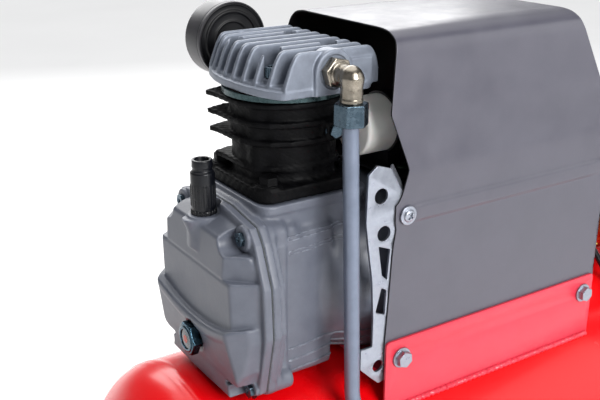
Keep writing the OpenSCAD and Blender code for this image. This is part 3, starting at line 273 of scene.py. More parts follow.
def solid(name, points, faces, finish, sharp=35.0):
    """A mesh object from points in millimetres, with its faces turned outwards"""
    mesh = bpy.data.meshes.new(name)
    mesh.from_pydata(place(points).tolist(), [], [list(map(int, f)) for f in faces])
    mesh.validate()
    shade(mesh, sharp)
    for f in finish if isinstance(finish, (list, tuple)) else [finish]:
        mesh.materials.append(f)
    return shown(name, mesh)


# The six faces of a block, from its four lower corners and then its four upper ones
BOX_FACES = [(3, 2, 1, 0), (4, 5, 6, 7), (0, 1, 5, 4), (1, 2, 6, 5), (2, 3, 7, 6), (3, 0, 4, 7)]


def join(name, parts):
    """One object from several, keeping each one's materials; live modifiers are applied first"""
    deps = bpy.context.evaluated_depsgraph_get()
    points, faces, finishes, picks = [], [], [], []
    for p in parts:
        ev = p.evaluated_get(deps)
        mesh = bpy.data.meshes.new_from_object(ev)
        base = len(points)
        points += [tuple(p.matrix_world @ v.co) for v in mesh.vertices]
        slots = []
        for m in p.data.materials:
            if m not in finishes:
                finishes.append(m)
            slots.append(finishes.index(m))
        for f in mesh.polygons:
            faces.append([base + i for i in f.vertices])
            picks.append(slots[min(f.material_index, len(slots) - 1)] if slots else 0)
        bpy.data.meshes.remove(mesh)
        bpy.data.objects.remove(p)
    mesh = bpy.data.meshes.new(name)
    mesh.from_pydata(points, [], faces)
    for m in finishes:
        mesh.materials.append(m)
    mesh.polygons.foreach_set("material_index", picks)
    shade(mesh, 35)
    return shown(name, mesh)


TURN = {"x": (0, 1, 2), "y": (1, 2, 0), "z": (2, 0, 1)}


def turned(name, axis, centre, profile, finish, sides=96, sharp=32.0):
    """A lathe-turned solid. Its profile is (distance along the axis, radius) in order, closed on itself or
    on the axis."""
    a, u, v = TURN[axis]
    points, faces = [], []
    closed = profile[0][1] > 1e-6 or profile[-1][1] > 1e-6
    rows = []
    for along, radius in profile:
        if radius < 1e-6:
            rows.append([len(points)])
            p = [0.0, 0.0, 0.0]
            p[a] = along
            points.append(p)
            continue
        rows.append(list(range(len(points), len(points) + sides)))
        for k in range(sides):
            t = 2 * math.pi * k / sides
            p = [0.0, 0.0, 0.0]
            p[a], p[u], p[v] = along, radius * math.cos(t), radius * math.sin(t)
            points.append(p)
    pairs = list(zip(rows, rows[1:])) + ([(rows[-1], rows[0])] if closed else [])
    for one, two in pairs:
        for k in range(sides):
            m = (k + 1) % sides
            if len(one) == 1 and len(two) == 1:
                continue
            if len(one) == 1:
                faces.append([one[0], two[m], two[k]])
            elif len(two) == 1:
                faces.append([one[k], one[m], two[0]])
            else:
                faces.append([one[k], one[m], two[m], two[k]])
    # the signed area of the profile says which way round it was drawn
    loop = profile + [profile[0]]
    area = sum(p[0] * q[1] - q[0] * p[1] for p, q in zip(loop, loop[1:]))
    if area > 0:
        faces = [f[::-1] for f in faces]
    return solid(name, np.array(points) + np.array(centre, float), faces, finish, sharp)


def eased(profile, radius, steps=3):
    """Rounds every inner corner of an outline by up to radius"""
    out = [tuple(profile[0])]
    for before, here, after in zip(profile, profile[1:], profile[2:]):
        b, h, n = (np.array(p, float) for p in (before, here, after))
        r = min(radius, 0.45 * np.linalg.norm(b - h), 0.45 * np.linalg.norm(n - h))
        if r < 0.02:
            out.append(tuple(h))
            continue
        start, end = h + (b - h) / np.linalg.norm(b - h) * r, h + (n - h) / np.linalg.norm(n - h) * r
        for i in range(steps + 1):
            t = i / steps
            out.append(tuple((1 - t) ** 2 * start + 2 * t * (1 - t) * h + t ** 2 * end))
    return out + [tuple(profile[-1])]


def eased_loop(outline, radius, steps=3):
    """Rounds every corner of a closed outline"""
    return eased([outline[-1]] + list(outline) + [outline[0]], radius, steps)[1:-1]


def rounded_path(path, radius, steps=10):
    """Replaces the corners of a path with arcs, as a tube bender does"""
    path = [np.array(p, float) for p in path]
    out = [path[0]]
    for before, here, after in zip(path, path[1:], path[2:]):
        a, b = here - before, after - here
        a, b = a / np.linalg.norm(a), b / np.linalg.norm(b)
        turn = math.acos(max(-1.0, min(1.0, float(a @ b))))
        reach = radius * math.tan(turn / 2)
        side = (b - a) / np.linalg.norm(b - a)
        middle = here + side * (radius / math.cos(turn / 2))
        u = (here - a * reach - middle) / radius
        out += [middle + radius * (u * math.cos(turn * k / steps) + a * math.sin(turn * k / steps))
                for k in range(steps + 1)]
    return out + [path[-1]]


def finely(path, step):
    """A path with points added about every step along it"""
    out = []
    for a, b in zip(path, path[1:]):
        n = max(1, int(np.linalg.norm(b - a) / step))
        out += [a + (b - a) * k / n for k in range(n)]
    return out + [path[-1]]


def tube(name, path, radius, finish, sides=32, ends=True, sharp=40.0, bore=0.0):
    """A round tube along a path; radius is one number or one for each point. bore opens its ends."""
    path = np.array(path, float)
    radii = np.broadcast_to(np.array(radius, float), (len(path),))
    heading = np.gradient(path, axis=0)
    heading /= np.linalg.norm(heading, axis=1)[:, None]
    side = np.cross(heading[0], [0.3, 0.5, 0.8])
    rings = []
    for p, t, r in zip(path, heading, radii):
        side = side - (side @ t) * t
        side /= np.linalg.norm(side)
        up = np.cross(t, side)
        angle = np.linspace(0, 2 * math.pi, sides, endpoint=False)[:, None]
        rings.append((p, r, np.cos(angle) * side + np.sin(angle) * up))
    rows = [p + r * spokes for p, r, spokes in rings]
    if bore:
        rows += [p + (bore if bore < r else r * 0.8) * spokes for p, r, spokes in rings[::-1]]
    points = np.vstack(rows)
    n = len(rows)
    faces = []
    for i in range(n if bore else n - 1):
        j = (i + 1) % n
        for k in range(sides):
            m = (k + 1) % sides
            faces.append([i * sides + k, i * sides + m, j * sides + m, j * sides + k])
    if not bore:
        faces += [list(range(sides))[::-1], list(range((n - 1) * sides, n * sides))]
    return solid(name, points, faces, finish, sharp)


def plate(name, plane, outline, holes, start, thickness, finish, edge=0.35, steps=2):
    """A flat plate cut from an outline with holes, its edges eased; plane names its two axes, such as xz.
    It fills from start to start + thickness along the third axis."""
    curve = bpy.data.curves.new(name, "CURVE")
    curve.dimensions = "2D"
    curve.fill_mode = "BOTH"
    for loop in [outline] + list(holes):
        spline = curve.splines.new("POLY")
        spline.points.add(len(loop) - 1)
        for point, (a, b) in zip(spline.points, loop):
            point.co = (a, b, 0, 1)
        spline.use_cyclic_u = True
    curve.extrude = thickness / 2 - edge
    curve.bevel_depth = edge
    curve.bevel_resolution = steps - 1
    curve.offset = -edge
    flat = shown(name, curve)
    mesh = bpy.data.meshes.new_from_object(flat.evaluated_get(bpy.context.evaluated_depsgraph_get()))
    bpy.data.objects.remove(flat)
    co = np.array([v.co for v in mesh.vertices])
    first, second = ("xyz".index(c) for c in plane)
    third = 3 - first - second
    points = np.zeros_like(co)
    points[:, first], points[:, second] = co[:, 0], co[:, 1]
    points[:, third] = co[:, 2] + start + thickness / 2
    faces = [list(f.vertices) for f in mesh.polygons]
    if (first, second) in ((0, 2), (1, 0), (2, 1)):
        faces = [f[::-1] for f in faces]
    bpy.data.meshes.remove(mesh)
    return weld(solid(name, points, faces, finish, 25))


def weld(obj, gap_mm=0.002):
    """Closes the seams of a mesh and turns its faces outwards"""
    work = bmesh.new()
    work.from_mesh(obj.data)
    bmesh.ops.remove_doubles(work, verts=work.verts, dist=gap_mm / 1000)
    bmesh.ops.recalc_face_normals(work, faces=work.faces)
    work.to_mesh(obj.data)
    work.free()
    shade(obj.data, 28)
    return obj


def circle(u, v, radius, count=32, start=0.0):
    """A round outline"""
    return [(u + radius * math.cos(start + 2 * math.pi * k / count),
            v + radius * math.sin(start + 2 * math.pi * k / count)) for k in range(count)]


# ---------- castings, as distances to their surfaces ----------


class Mould:
    """An even grid over a block of space. Shapes are arrays of distances to a surface, in millimetres."""

    def __init__(self, low, high, step):
        self.low, self.step = np.array(low, float), step
        count = np.ceil((np.array(high) - self.low) / step).astype(int) + 1
        axes = [(self.low[i] + step * np.arange(count[i])).astype(np.float32) for i in range(3)]
        self.axes = np.meshgrid(*axes, indexing="ij", sparse=True)
        self.x, self.y, self.z = self.axes

    def box(self, low, high, ease=0.0):
        q = [np.abs(a - (l + h) / 2) - (h - l) / 2 + ease for a, l, h in zip(self.axes, low, high)]
        outer = np.sqrt(sum(np.maximum(d, 0) ** 2 for d in q))
        inner = np.minimum(np.maximum(np.maximum(q[0], q[1]), q[2]), 0)
        return outer + inner - ease

    def rod(self, axis, u, v, radius, low, high, ease=0.0):
        """A cylinder along an axis from low to high; radius may be an array"""
        a, b, c = TURN[axis]
        around = np.hypot(self.axes[b] - u, self.axes[c] - v) - radius
        along = np.abs(self.axes[a] - (low + high) / 2) - (high - low) / 2
        return both(around, along, ease)

    def outline(self, axis, points, low, high, ease=0.0):
        """A prism along an axis; its outline's points are in the two axes that follow it in turn"""
        a, b, c = TURN[axis]
        along = np.abs(self.axes[a] - (low + high) / 2) - (high - low) / 2
        return both(edge_distance(self.axes[b], self.axes[c], points), along, ease)

    def flat(self, normal, reach):
        """Everything behind a plane"""
        n = np.array(normal, float)
        n /= np.linalg.norm(n)
        return n[0] * self.x + n[1] * self.y + n[2] * self.z - reach


def edge_distance(u, v, points):
    """The signed distance to a closed outline, negative inside"""
    points = np.array(points, np.float32)
    best = np.float32(1e9)
    inside = np.zeros(np.broadcast(u, v).shape, bool)
    for p, q in zip(points, np.roll(points, -1, axis=0)):
        e = q - p
        wu, wv = u - p[0], v - p[1]
        t = np.clip((wu * e[0] + wv * e[1]) / max(float(e @ e), 1e-9), 0, 1)
        best = np.minimum(best, (wu - e[0] * t) ** 2 + (wv - e[1] * t) ** 2)
        crosses = ((p[1] <= v) & (q[1] > v)) | ((q[1] <= v) & (p[1] > v))
        slope = np.where(abs(e[1]) < 1e-9, 0, (v - p[1]) / (e[1] if abs(e[1]) > 1e-9 else 1))
        inside ^= crosses & (u < p[0] + slope * e[0])
    return np.where(inside, -np.sqrt(best), np.sqrt(best)).astype(np.float32)


def both(a, b, ease=0.0):
    """Where two shapes overlap, with the edge between them rounded"""
    if not ease:
        return np.maximum(a, b)
    a, b = a + ease, b + ease
    return np.hypot(np.maximum(a, 0), np.maximum(b, 0)) + np.minimum(np.maximum(a, b), 0) - ease


def blend(a, b, fillet=0.0):
    """Two shapes together, with a fillet"""
    if not fillet:
        return np.minimum(a, b)
    h = np.maximum(fillet - np.abs(a - b), 0) / fillet
    return np.minimum(a, b) - h * h * fillet * 0.25


def carve(a, b, fillet=0.0):
    """One shape less another"""
    return -blend(-a, b, fillet)


CORNERS = np.array([(i, j, k) for i in (0, 1) for j in (0, 1) for k in (0, 1)])


def skin(name, mould, shape, finish):
    """Turns a field of distances into a mesh, with a point in each cell that the surface crosses"""
    d = np.ascontiguousarray(np.broadcast_to(shape, np.broadcast(*mould.axes).shape), np.float32)
    inside = d < 0
    cells = tuple(n - 1 for n in d.shape)
    some, every = np.zeros(cells, bool), np.ones(cells, bool)
    for i, j, k in CORNERS:
        part = inside[i:i + cells[0], j:j + cells[1], k:k + cells[2]]
        some |= part
        every &= part
    where = np.argwhere(some & ~every)
    numbers = np.full(cells, -1, np.int64)
    numbers[tuple(where.T)] = np.arange(len(where))
    at = d[tuple((where[:, None, :] + CORNERS[None]).reshape(-1, 3).T)].reshape(-1, 8)
    total, count = np.zeros((len(where), 3)), np.zeros(len(where))
    for m in range(8):
        for n in range(m + 1, 8):
            if np.abs(CORNERS[m] - CORNERS[n]).sum() != 1:
                continue
            a, b = at[:, m], at[:, n]
            hit = (a < 0) != (b < 0)
            t = np.where(hit, a / np.where(hit, a - b, 1), 0)
            spot = CORNERS[m] + t[:, None] * (CORNERS[n] - CORNERS[m])
            total += spot * hit[:, None]
            count += hit
    spot = total / count[:, None]
    for _ in range(2):
        w = [np.where(CORNERS[None, :, i] == 1, spot[:, i:i + 1], 1 - spot[:, i:i + 1]) for i in range(3)]
        value = (w[0] * w[1] * w[2] * at).sum(1)
        sign = CORNERS * 2 - 1
        slope = np.stack([(sign[:, i] * w[(i + 1) % 3] * w[(i + 2) % 3] * at).sum(1) for i in range(3)], 1)
        move = value / np.maximum((slope ** 2).sum(1), 0.05 * mould.step ** 2)
        spot = np.clip(spot - 0.8 * move[:, None] * slope, 0, 1)
    points = mould.low + (where + spot) * mould.step
    faces = []
    for axis in range(3):
        u, v = np.eye(3, dtype=int)[(axis + 1) % 3], np.eye(3, dtype=int)[(axis + 2) % 3]
        one = np.take(inside, range(d.shape[axis] - 1), axis)
        two = np.take(inside, range(1, d.shape[axis]), axis)
        edges = np.argwhere(one != two)
        edges = edges[(edges @ u > 0) & (edges @ v > 0)]
        limit = np.array(cells)
        edges = edges[((edges < limit) | (np.eye(3, dtype=int)[axis] > 1)).all(1)]
        outward = inside[tuple(edges.T)]
        quad = np.stack([numbers[tuple((edges - s).T)] for s in (u + v, v, 0 * u, u)], 1)
        quad[~outward] = quad[~outward][:, ::-1]
        faces.append(quad[(quad >= 0).all(1)])
    faces = np.vstack(faces)
    mesh = bpy.data.meshes.new(name)
    mesh.vertices.add(len(points))
    mesh.vertices.foreach_set("co", place(points).astype(np.float32).ravel())
    mesh.loops.add(faces.size)
    mesh.loops.foreach_set("vertex_index", faces.ravel().astype(np.int32))
    mesh.polygons.add(len(faces))
    mesh.polygons.foreach_set("loop_start", (np.arange(len(faces)) * 4).astype(np.int32))
    mesh.update(calc_edges=True)
    mesh.validate()
    shade(mesh, 0)
    mesh.materials.append(finish)
    return shown(name, mesh)


def fine(step):
    """The grid step, times a factor for coarser moulds, which is 1 here"""
    return step * 1.0


# ---------- pump castings ----------

FLANGE = [(0, 75), (17, 75), (54, 69), (62, 58), (74, 28), (76, -11), (65, -60), (56, -67), (38, -70),
        (0, -70)]
COVER_SCREWS = [(47.4, 59.8), (56.0, -60.0)]
GASKET = 0.8
CYL_X = middle("piston_rings", 0)
SEAT = low_high("cylinder")[0][2] + 16
DECK = low_high("cylinder")[1][2]
HEAD_Z = low_high("cylinder_head")[0][2]
HEAD_TOP = low_high("cylinder_head")[1][2]
BREATHER_X = middle("oil_breather", 0)
SIGHT_Z = middle("sight_glass", 2)
ELBOW_X = middle("outlet_elbow", 0)
ELBOW_Y = low_high("outlet_elbow")[0][1] + 8
ELBOW_Z = HEAD_Z + 16.5
# Bolts of the head and of the cylinder's foot, from the bore's axis along X and Y
HEAD_BOLT = (24 + 41) / 2 / math.sqrt(2) + 1
FOOT_BOLT = 35
# Half the hood's width, and the tank's axis and radius
HOOD_HALF = 85.0
TANK_Z = low_high("tank")[0][2] + 158
TANK_R = 150.0


def mirrored(half):
    """A whole outline from its half, mirrored in its first coordinate"""
    return half + [(-a, b) for a, b in half[::-1] if abs(a) > 1e-6]


def cover():
    """The crankcase's front cover: a shield-shaped casting with a flat brow, a swelling below a soft ridge,
    hollow scoops round its screws, a boss for the breather and a dish for the sight glass"""
    low, high = low_high("crankcase_cover")
    face, nose = high[0], low[0]
    m = Mould(low - 2, (face + 2, high[1] + 2, high[2] + 2), fine(0.85))
    x, y, z = m.x, m.y, m.z
    ay = np.abs(y)
    flange = m.outline("x", mirrored(FLANGE), face - 7, face, 1.4)
    # the brow: a flat face between slanting flanks
    wall = edge_distance(y, z, mirrored([(0, 69), (22, 68.5), (50, 63), (59, 52), (69, 27), (70, -11),
            (60, -59), (52, -66), (0, -67)]))
    front = both(m.flat((-1, 0, 0.07), -(nose + 4.9) + 0.07 * 30),
            m.flat((-1, 0, -0.02), -(nose + 4.9) - 0.6))
    flank = (-0.577 * (x - (nose + 5.8)) + 0.816 * (ay - 56.5))
    top = m.flat((-0.42, 0, 0.907), -0.42 * (nose + 6) + 0.907 * 60)
    body = both(both(both(both(wall, front, 1.5), flank, 1.5), top, 2), x - (face - 4))
    # above the crease the flank stands further in, which leaves a small ledge
    upper = -0.71 * (x - (nose + 5.8)) + 0.704 * (ay - 46.5)
    body = carve(body, both(both(-upper, 31.2 - z), -(wall + 60)), 1.0)
    body = carve(body, both(np.hypot(x - (nose + 4.2), z - 30.6) - 1.25, wall + 9, 1), 1.2)
    # the swelling: a bead along the ridge and a face that falls back below it
    ridge = -15.5 + 0.0030 * y * y
    lobe = edge_distance(y, z, mirrored([(0, 8), (68, 8), (69.5, -14), (66, -40), (57, -59), (47, -67),
            (0, -67.5)]))
    lip = (z - ridge) * 0.93
    fall = m.flat((-0.985, 0, -0.17), 0.985 * -(nose + 0.6) + 0.17 * 17)
    keel = m.flat((-0.80, 0, -0.60), 0.80 * -(nose + 1.6) + 0.60 * 47)
    cheek = -0.62 * (x - (nose + 0.6)) + 0.785 * (ay - 58.5)
    swell = both(both(both(both(both(lobe, lip, 3.0), fall, 2), keel, 4), cheek, 1.6), x - (face - 4))
    bead = np.hypot((x - (nose + 4.6)), (z - ridge + 4.2) * 0.95) - 4.9
    bead = both(bead, cheek + 0.6, 2)
    shape = blend(blend(flange, body, 1.8), blend(swell, bead, 2.0), 1.6)
    # the boss that carries the breather, with a small V gusset running down from it
    shape = blend(shape, m.rod("z", BREATHER_X, 0, 12.8, 40, 66, 1.2), 3)
    gusset = both(np.hypot(ay * 0.9, (x - (nose + 5))) - (z - 47) * 0.42, both(z - 64, 47 - z, 0), 1)
    shape = blend(shape, both(gusset, x - (nose + 12)), 1.5)
    # scoops that let a driver in to the four screws
    for side in (-1, 1):
        near = side * y
        for (sy, sz), reach, down in zip(COVER_SCREWS, (10.6, 8.6), (1, -1)):
            scoop = np.hypot(near - sy, z - sz) - reach
            ledge = both(sy - near - 0.5, np.where(down > 0, sz - reach + 0.6 - z, z - (sz + 4.6)))
            open_side = both(sy - near, (sz - z) * down)
            cutter = both(both(np.minimum(np.minimum(scoop, ledge), open_side), x - (face - 7)),
                    -(x - (nose - 6)))
            shape = carve(shape, cutter, 1.6)
            seat = both(np.hypot(near - sy, z - sz) - 9.6, np.abs(x - (face - 6)) - 3.0, 1)
            shape = blend(shape, both(seat, edge_distance(y, z, mirrored(FLANGE)), 1), 1.2)
            shape = carve(shape, m.rod("x", side * sy, sz, 3.2, nose - 5, face + 5))
        slot = m.box((nose - 4, 44 if side > 0 else -66, -55.5), (face - 10, 66 if side > 0 else -44, -51.5),
                1.5)
        shape = carve(shape, slot, 1.4)
    # the dish and bore of the sight glass
    dish = np.hypot(y, z - SIGHT_Z) - (15.2 - 0.55 * (x - nose))
    shape = carve(shape, both(dish, x - (nose + 6.0), 1.5), 1.2)
    shape = carve(shape, m.rod("x", 0, SIGHT_Z, 9, nose - 5, face - 12))
    shape = carve(shape, m.rod("z", BREATHER_X, 0, 7, 45, 80))
    shape = carve(shape, m.rod("z", BREATHER_X, 0, 13.2, 66, 80))
    # the split line between the flange's two lips
    rim = np.abs(edge_distance(y, z, mirrored(FLANGE))) - 0.7
    shape = carve(shape, both(rim, np.abs(x - (face - 7.2)) - 0.5), 0.8)
    hollow = m.outline("x", mirrored([(0, 47), (32, 43), (42, 28), (44, -14), (36, -46), (0, -50)]),
            nose + 9, face + 5, 3)
    shape = both(carve(shape, hollow), x - face)
    return finish_piece(skin("front_cover", m, shape, case_paint), "cast_aluminium", "crankcase_cover")


def crankcase():
    """The crankcase and its bell, in one casting: flange, oil box, tower, a valley, and the bell's mouth"""
    low, high = low_high("crankcase")
    seat_z = SEAT
    m = Mould(low - 2, (high[0] + 2, high[1] + 2, seat_z + 2), fine(1.32))
    x, y, z = m.x, m.y, m.z
    ay = np.abs(y)
    outer = edge_distance(y, z, mirrored(FLANGE))
    flange = both(outer, np.abs(x - 3.5) - 3.5, 1.4)
    flange = np.minimum(flange, both(outer + 2.4, np.abs(x - 9) - 3.4, 1.6))
    half = 57.0
    wall = edge_distance(y, z, mirrored([(0, 60), (50, 56), (half, 50), (half, -54), (50, -62), (0, -66)]))
    box = both(wall, np.abs(x - 36) - 31, 3)
    # the side walls draw in towards a valley in front of the bell
    draw = (ay - half) * 0.985 + 0.10 * (x - 22) + 1.6 * np.exp(-((x - 60) / 9.0) ** 2)
    box = both(box, np.where(x > 22, draw, -50), 2.5)
    around = np.hypot(y, z)
    reach = np.interp(m.x.ravel(), [56, 60, 66, 76, 92, 104, 118, 134, 150, 163, 165],
            [54, 57.5, 61.5, 66.5, 71.5, 75.5, 79.2, 81.6, 82, 80.6, 79.5]).reshape(m.x.shape)
    bell = both((around - reach) * 0.93, both(m.x - 165, 56 - m.x, 0), 1.6)
    bell = both(bell, -67 - z, 1.2)
    lip = both(around - 82, np.abs(x - 158) - 6.5, 1.5)
    shape = blend(box, flange, 3.5)
    shape = blend(shape, both(lip, -67 - z, 1), 1.5)
    shape = blend(shape, bell, 7)
    tower = m.outline("z", eased_loop([(9, -47), (103, -47), (103, 47), (9, 47)], 12, 6), 48, seat_z, 1.0)
    pad = m.outline("z", eased_loop([(7.5, -48.5), (104.5, -48.5), (104.5, 48.5), (7.5, 48.5)], 13, 6),
            seat_z - 7, seat_z, 1.2)
    shape = blend(shape, tower, 7)
    shape = blend(shape, pad, 2)
    # a sloping shoulder in front of the tower and a stepped notch at its near corner
    shoulder = m.box((8, -51, 50), (34, 51, 62), 3)
    shape = blend(shape, shoulder, 8)
    shape = blend(shape, m.box((120, -80, -67), (150, 80, -58.5), 2), 4)
    for side in (-1, 1):
        near = side * y
        shape = carve(shape, both(both(np.abs(x - 104) - 7.5, 44 - near), np.abs(z - 66) - 6, 1.5), 2)
        # bosses behind the cover screws
        for sy, sz in COVER_SCREWS:
            shape = blend(shape, m.rod("x", side * sy, sz * 0.97, 8.5, 2, 24, 2), 4)
        for bz in (-52, 52):
            shape = blend(shape, m.rod("x", side * 52, bz, 9.5, 132, 164, 2), 5)
    shape = both(shape, z - seat_z)
    shape = both(shape, -70 - z)
    # oil space, bearing seat, motor space and bores
    oil = m.outline("x", mirrored([(0, 46), (38, 44), (45, 38), (45, -44), (38, -48), (0, -50)]), -5, 76)
    shape = carve(shape, oil)
    for radius, start, end in ((46, 60, 84), (23.6, 80, 98), (12.2, 80, 120), (62, 104, 170), (65.1, 150, 172)):
        shape = carve(shape, m.rod("x", 0, 0, radius, start, end))
    shape = carve(shape, m.rod("z", CYL_X, 0, 28.2, 0, seat_z + 5))
    for side in (-1, 1):
        for sy, sz in COVER_SCREWS:
            shape = carve(shape, m.rod("x", side * sy, sz, 2.9, -5, 19))
        for sx in (-1, 1):
            shape = carve(shape, m.rod("z", CYL_X + sx * FOOT_BOLT, side * FOOT_BOLT, 3.4, seat_z - 18,
                    seat_z + 5))
        for bz in (-52, 52):
            shape = carve(shape, m.rod("x", side * 52, bz, 3.4, 138, 172))
        for fy in (-72, 72):
            shape = carve(shape, m.rod("z", 135, fy, 4.4, -75, -56))
    shape = both(shape, -x)
    parts = [skin("casting", m, shape, case_paint)]

    wall_tree = BVHTree.FromPolygons([v.co.copy() for v in parts[0].data.vertices],
            [tuple(f.vertices) for f in parts[0].data.polygons])

    def on_wall(px, pz, side):
        """The point of the casting's side at px, pz, found by looking straight in at it"""
        start = Vector(place((px, side * 110, pz))[0])
        hit = wall_tree.ray_cast(start, Vector((0, -side, 0)))[0]
        return px, (hit.y - DATUM[1]) * 1000 - 0.2 * side, pz

    for side in (-1, 1):
        for rib in (-36.0, -46.0, -55.0):
            line = [on_wall(px, rib, side) for px in np.linspace(24, 100, 44)]
            parts.append(tube("rib", line, [0.6] + [1.15] * 42 + [0.6], case_paint, 10))
        for slot in (54.0, 43.5):
            lap = [(px, slot + 1.3) for px in np.linspace(26, 84, 34)]
            lap += [(84 + 1.3 * math.sin(t), slot + 1.3 * math.cos(t)) for t in np.linspace(0.4, 2.7, 6)]
            lap += [(px, slot - 1.3) for px in np.linspace(84, 26, 34)]
            lap += [(26 - 1.3 * math.sin(t), slot - 1.3 * math.cos(t)) for t in np.linspace(0.4, 2.7, 6)]
            parts.append(tube("slot", [on_wall(px, pz, side) for px, pz in lap + lap[:1]], 0.62, case_paint,
                    8))
    whole = join("crankcase_casting", parts)
    whole.data.set_sharp_from_angle(angle=math.radians(60))
    return finish_piece(whole, "cast_aluminium", "crankcase")


def cylinder():
    """The sand-cast iron cylinder: bowed fins with a sharp far corner, a deep foot and a side boss"""
    low, high = low_high("cylinder")
    base, deck = SEAT + GASKET, DECK
    m = Mould(low - 1.5, high + 1.5, fine(0.9))
    x, y, z = m.x - CYL_X, m.y, m.z
    around = np.hypot(x, y)
    lumps = 0.25 * np.sin(0.9 * m.x + 1.3 * z) * np.cos(0.8 * y - 0.6 * z)
    barrel = both(around - 38.8 - 0.042 * (z - base), np.abs(z - (base + deck) / 2) - (deck - base) / 2, 0.6)
    rib = both(np.hypot(x + 33, y + 17) - 5.5, np.abs(z - (base + deck) / 2) - (deck - base) / 2)
    shape = blend(barrel, rib, 6)
    fin = [(-48.5, 35), (-46.5, 22), (-46.6, 4), (-46, -10), (-42, -23), (-33, -34), (-18, -41.5), (0, -44.5),
           (18, -42), (32, -35), (40, -24), (43.5, -6), (43.5, 10), (39, 26), (28, 38), (10, 43), (-10, 43),
            (-32, 41)]
    for down, grow in zip((2.7, 16.8, 30.8, 50.8), (0.0, -0.8, -1.6, -4.5)):
        level = deck - down
        plan = edge_distance(x, y, fin) - grow
        thin = np.abs(z - level) - (2.0 + 0.035 * np.maximum(-plan, 0))
        shape = blend(shape, both(plan, thin, 0.9), 2.2)
    foot_plan = edge_distance(x, y, eased_loop([(-46, -46), (46, -46), (46, 46), (-46, 46)], 17, 6))
    foot = both(foot_plan, np.abs(z - (base + 5)) - 5, 1.8)
    shape = blend(shape, foot, 6)
    for sx in (-1, 1):
        for sy in (-1, 1):
            shape = blend(shape, both(np.hypot(x - FOOT_BOLT * sx, y - FOOT_BOLT * sy) - 9.5,
                    np.abs(z - (base + 6)) - 6, 1), 3)
    boss = m.box((CYL_X + 9, -46, deck - 31.5), (CYL_X + 23, -30, deck - 16.5), 2.5)
    shape = blend(shape, boss, 4)
    spigot = both(around - 28, np.abs(z - (base - 7.5)) - 8.5, 0.8)
    shape = np.minimum(shape + 0.9 * lumps, spigot)
    shape = both(shape, z - deck)
    shape = both(shape, np.where(around > 28.5, base - z, -99))
    shape = carve(shape, m.rod("z", CYL_X, 0, 24.05, 50, 160))
    shape = carve(shape, both(np.hypot(x - 16, z - (deck - 24)) - 3.1, y + 32))
    return finish_piece(skin("iron_cylinder", m, shape, black_iron), "black_iron", "cylinder")


HEAD_FINS = [56 - 13.2 * i for i in range(9)]


def cylinder_head():
    """The head: a bowed base plate, nine thin fins that lean back at the front, bolt wells and two ports"""
    low, high = low_high("cylinder_head")
    base, top = HEAD_Z, HEAD_TOP
    m = Mould(low - np.array([1.2, 4.0, 1.2]), high + 1.2, fine(0.82))
    x, y, z = m.x - 9, m.y, m.z
    plan = edge_distance(x, y, eased_loop([(14, -52), (7, -36), (2.6, -12), (2.2, 12), (5, 33), (12, 55),
            (21, 65.5), (86, 65.5), (94, 58), (95, -46), (88, -53)], 5))
    shape = both(plan, np.abs(z - (base + 3)) - 3, 0.9)
    shape = blend(shape, both(plan + 3.2, np.abs(z - (base + 5)) - 3, 1.0), 1.2)
    core = edge_distance(x, y, eased_loop([(30, -44), (78, -44), (85, -34), (85, 44), (78, 55), (30, 55),
            (24, 44), (22, -32)], 6))
    shape = blend(shape, both(core, np.abs(z - (base + 6.5)) - 6.5, 2), 2.0)
    for fy in HEAD_FINS:
        front = 2.6 + 14 * (abs(fy - 5) / 60) ** 2
        leaf = eased_loop([(front, base + 4), (front + 7.5, top - 8), (front + 12.5, top), (89.5, top),
                (94.5, top - 7), (100, base + 4)], 5.5, 5)
        side = edge_distance(x, z, leaf)
        thick = np.abs(y - fy) - 1.5 - 0.022 * (top - z)
        blade = both(side, thick, 0.8)
        shape = blend(shape, blade, 1.1)
    # wells of the four bolts
    for sx in (-1, 1):
        for sy in (-1, 1):
            u, v = CYL_X + sx * HEAD_BOLT, sy * HEAD_BOLT
            shape = blend(shape, m.rod("z", u, v, 8.4, base, base + 11, 1), 1.0)
            shape = carve(shape, m.rod("z", u, v, 7.2, base + 11, top + 5), 0.4)
    # the near face carries an arched pad round the outlet, the far face the inlet's neck
    shape = blend(shape, m.box((CYL_X - 2, -52.4, base + 3), (100, -46, top - 8), 1.2), 1.5)
    arch = np.where(z < ELBOW_Z, np.abs(m.x - ELBOW_X) - 16, np.hypot(m.x - ELBOW_X, z - ELBOW_Z) - 16)
    pad = both(both(arch, base - z), np.abs(y + 48) - 6.8, 1.2)
    shape = blend(shape, pad, 1.4)
    shape = carve(shape, both(np.hypot(m.x - ELBOW_X, z - ELBOW_Z) - 12.2, y + 53.7), 0.5)
    shape = blend(shape, both(np.hypot(m.x - CYL_X, z - (base + 17)) - 13, np.abs(y - 59) - 9, 1.2), 2)
    shape = carve(shape, both(np.hypot(m.x - CYL_X, z - (base + 17)) - 8, 46 - y))
    shape = carve(shape, both(np.hypot(m.x - ELBOW_X, z - ELBOW_Z) - 6.6, y + 40))
    shape = both(shape, base - z)
    return finish_piece(skin("finned_head", m, shape, head_metal), "head_aluminium", "cylinder_head")


cover()
crankcase()
cylinder()
cylinder_head()

# ---------- repeats, set out by Geometry Nodes ----------


def tree_with(name, sockets):
    """A node tree for a modifier, its named inputs, its one geometry in and out, and the item"""
    tree = bpy.data.node_groups.new(name, "GeometryNodeTree")
    tree.interface.new_socket(name="Geometry", in_out="INPUT", socket_type="NodeSocketGeometry")
    tree.interface.new_socket(name="Geometry", in_out="OUTPUT", socket_type="NodeSocketGeometry")
    for label, kind in sockets.items():
        tree.interface.new_socket(name=label, in_out="INPUT", socket_type="NodeSocket" + kind)
    given, out = add(tree, "NodeGroupInput"), add(tree, "NodeGroupOutput")
    return tree, given, out, add(tree, "GeometryNodeObjectInfo", None, {"Object": given.outputs["Item"]})


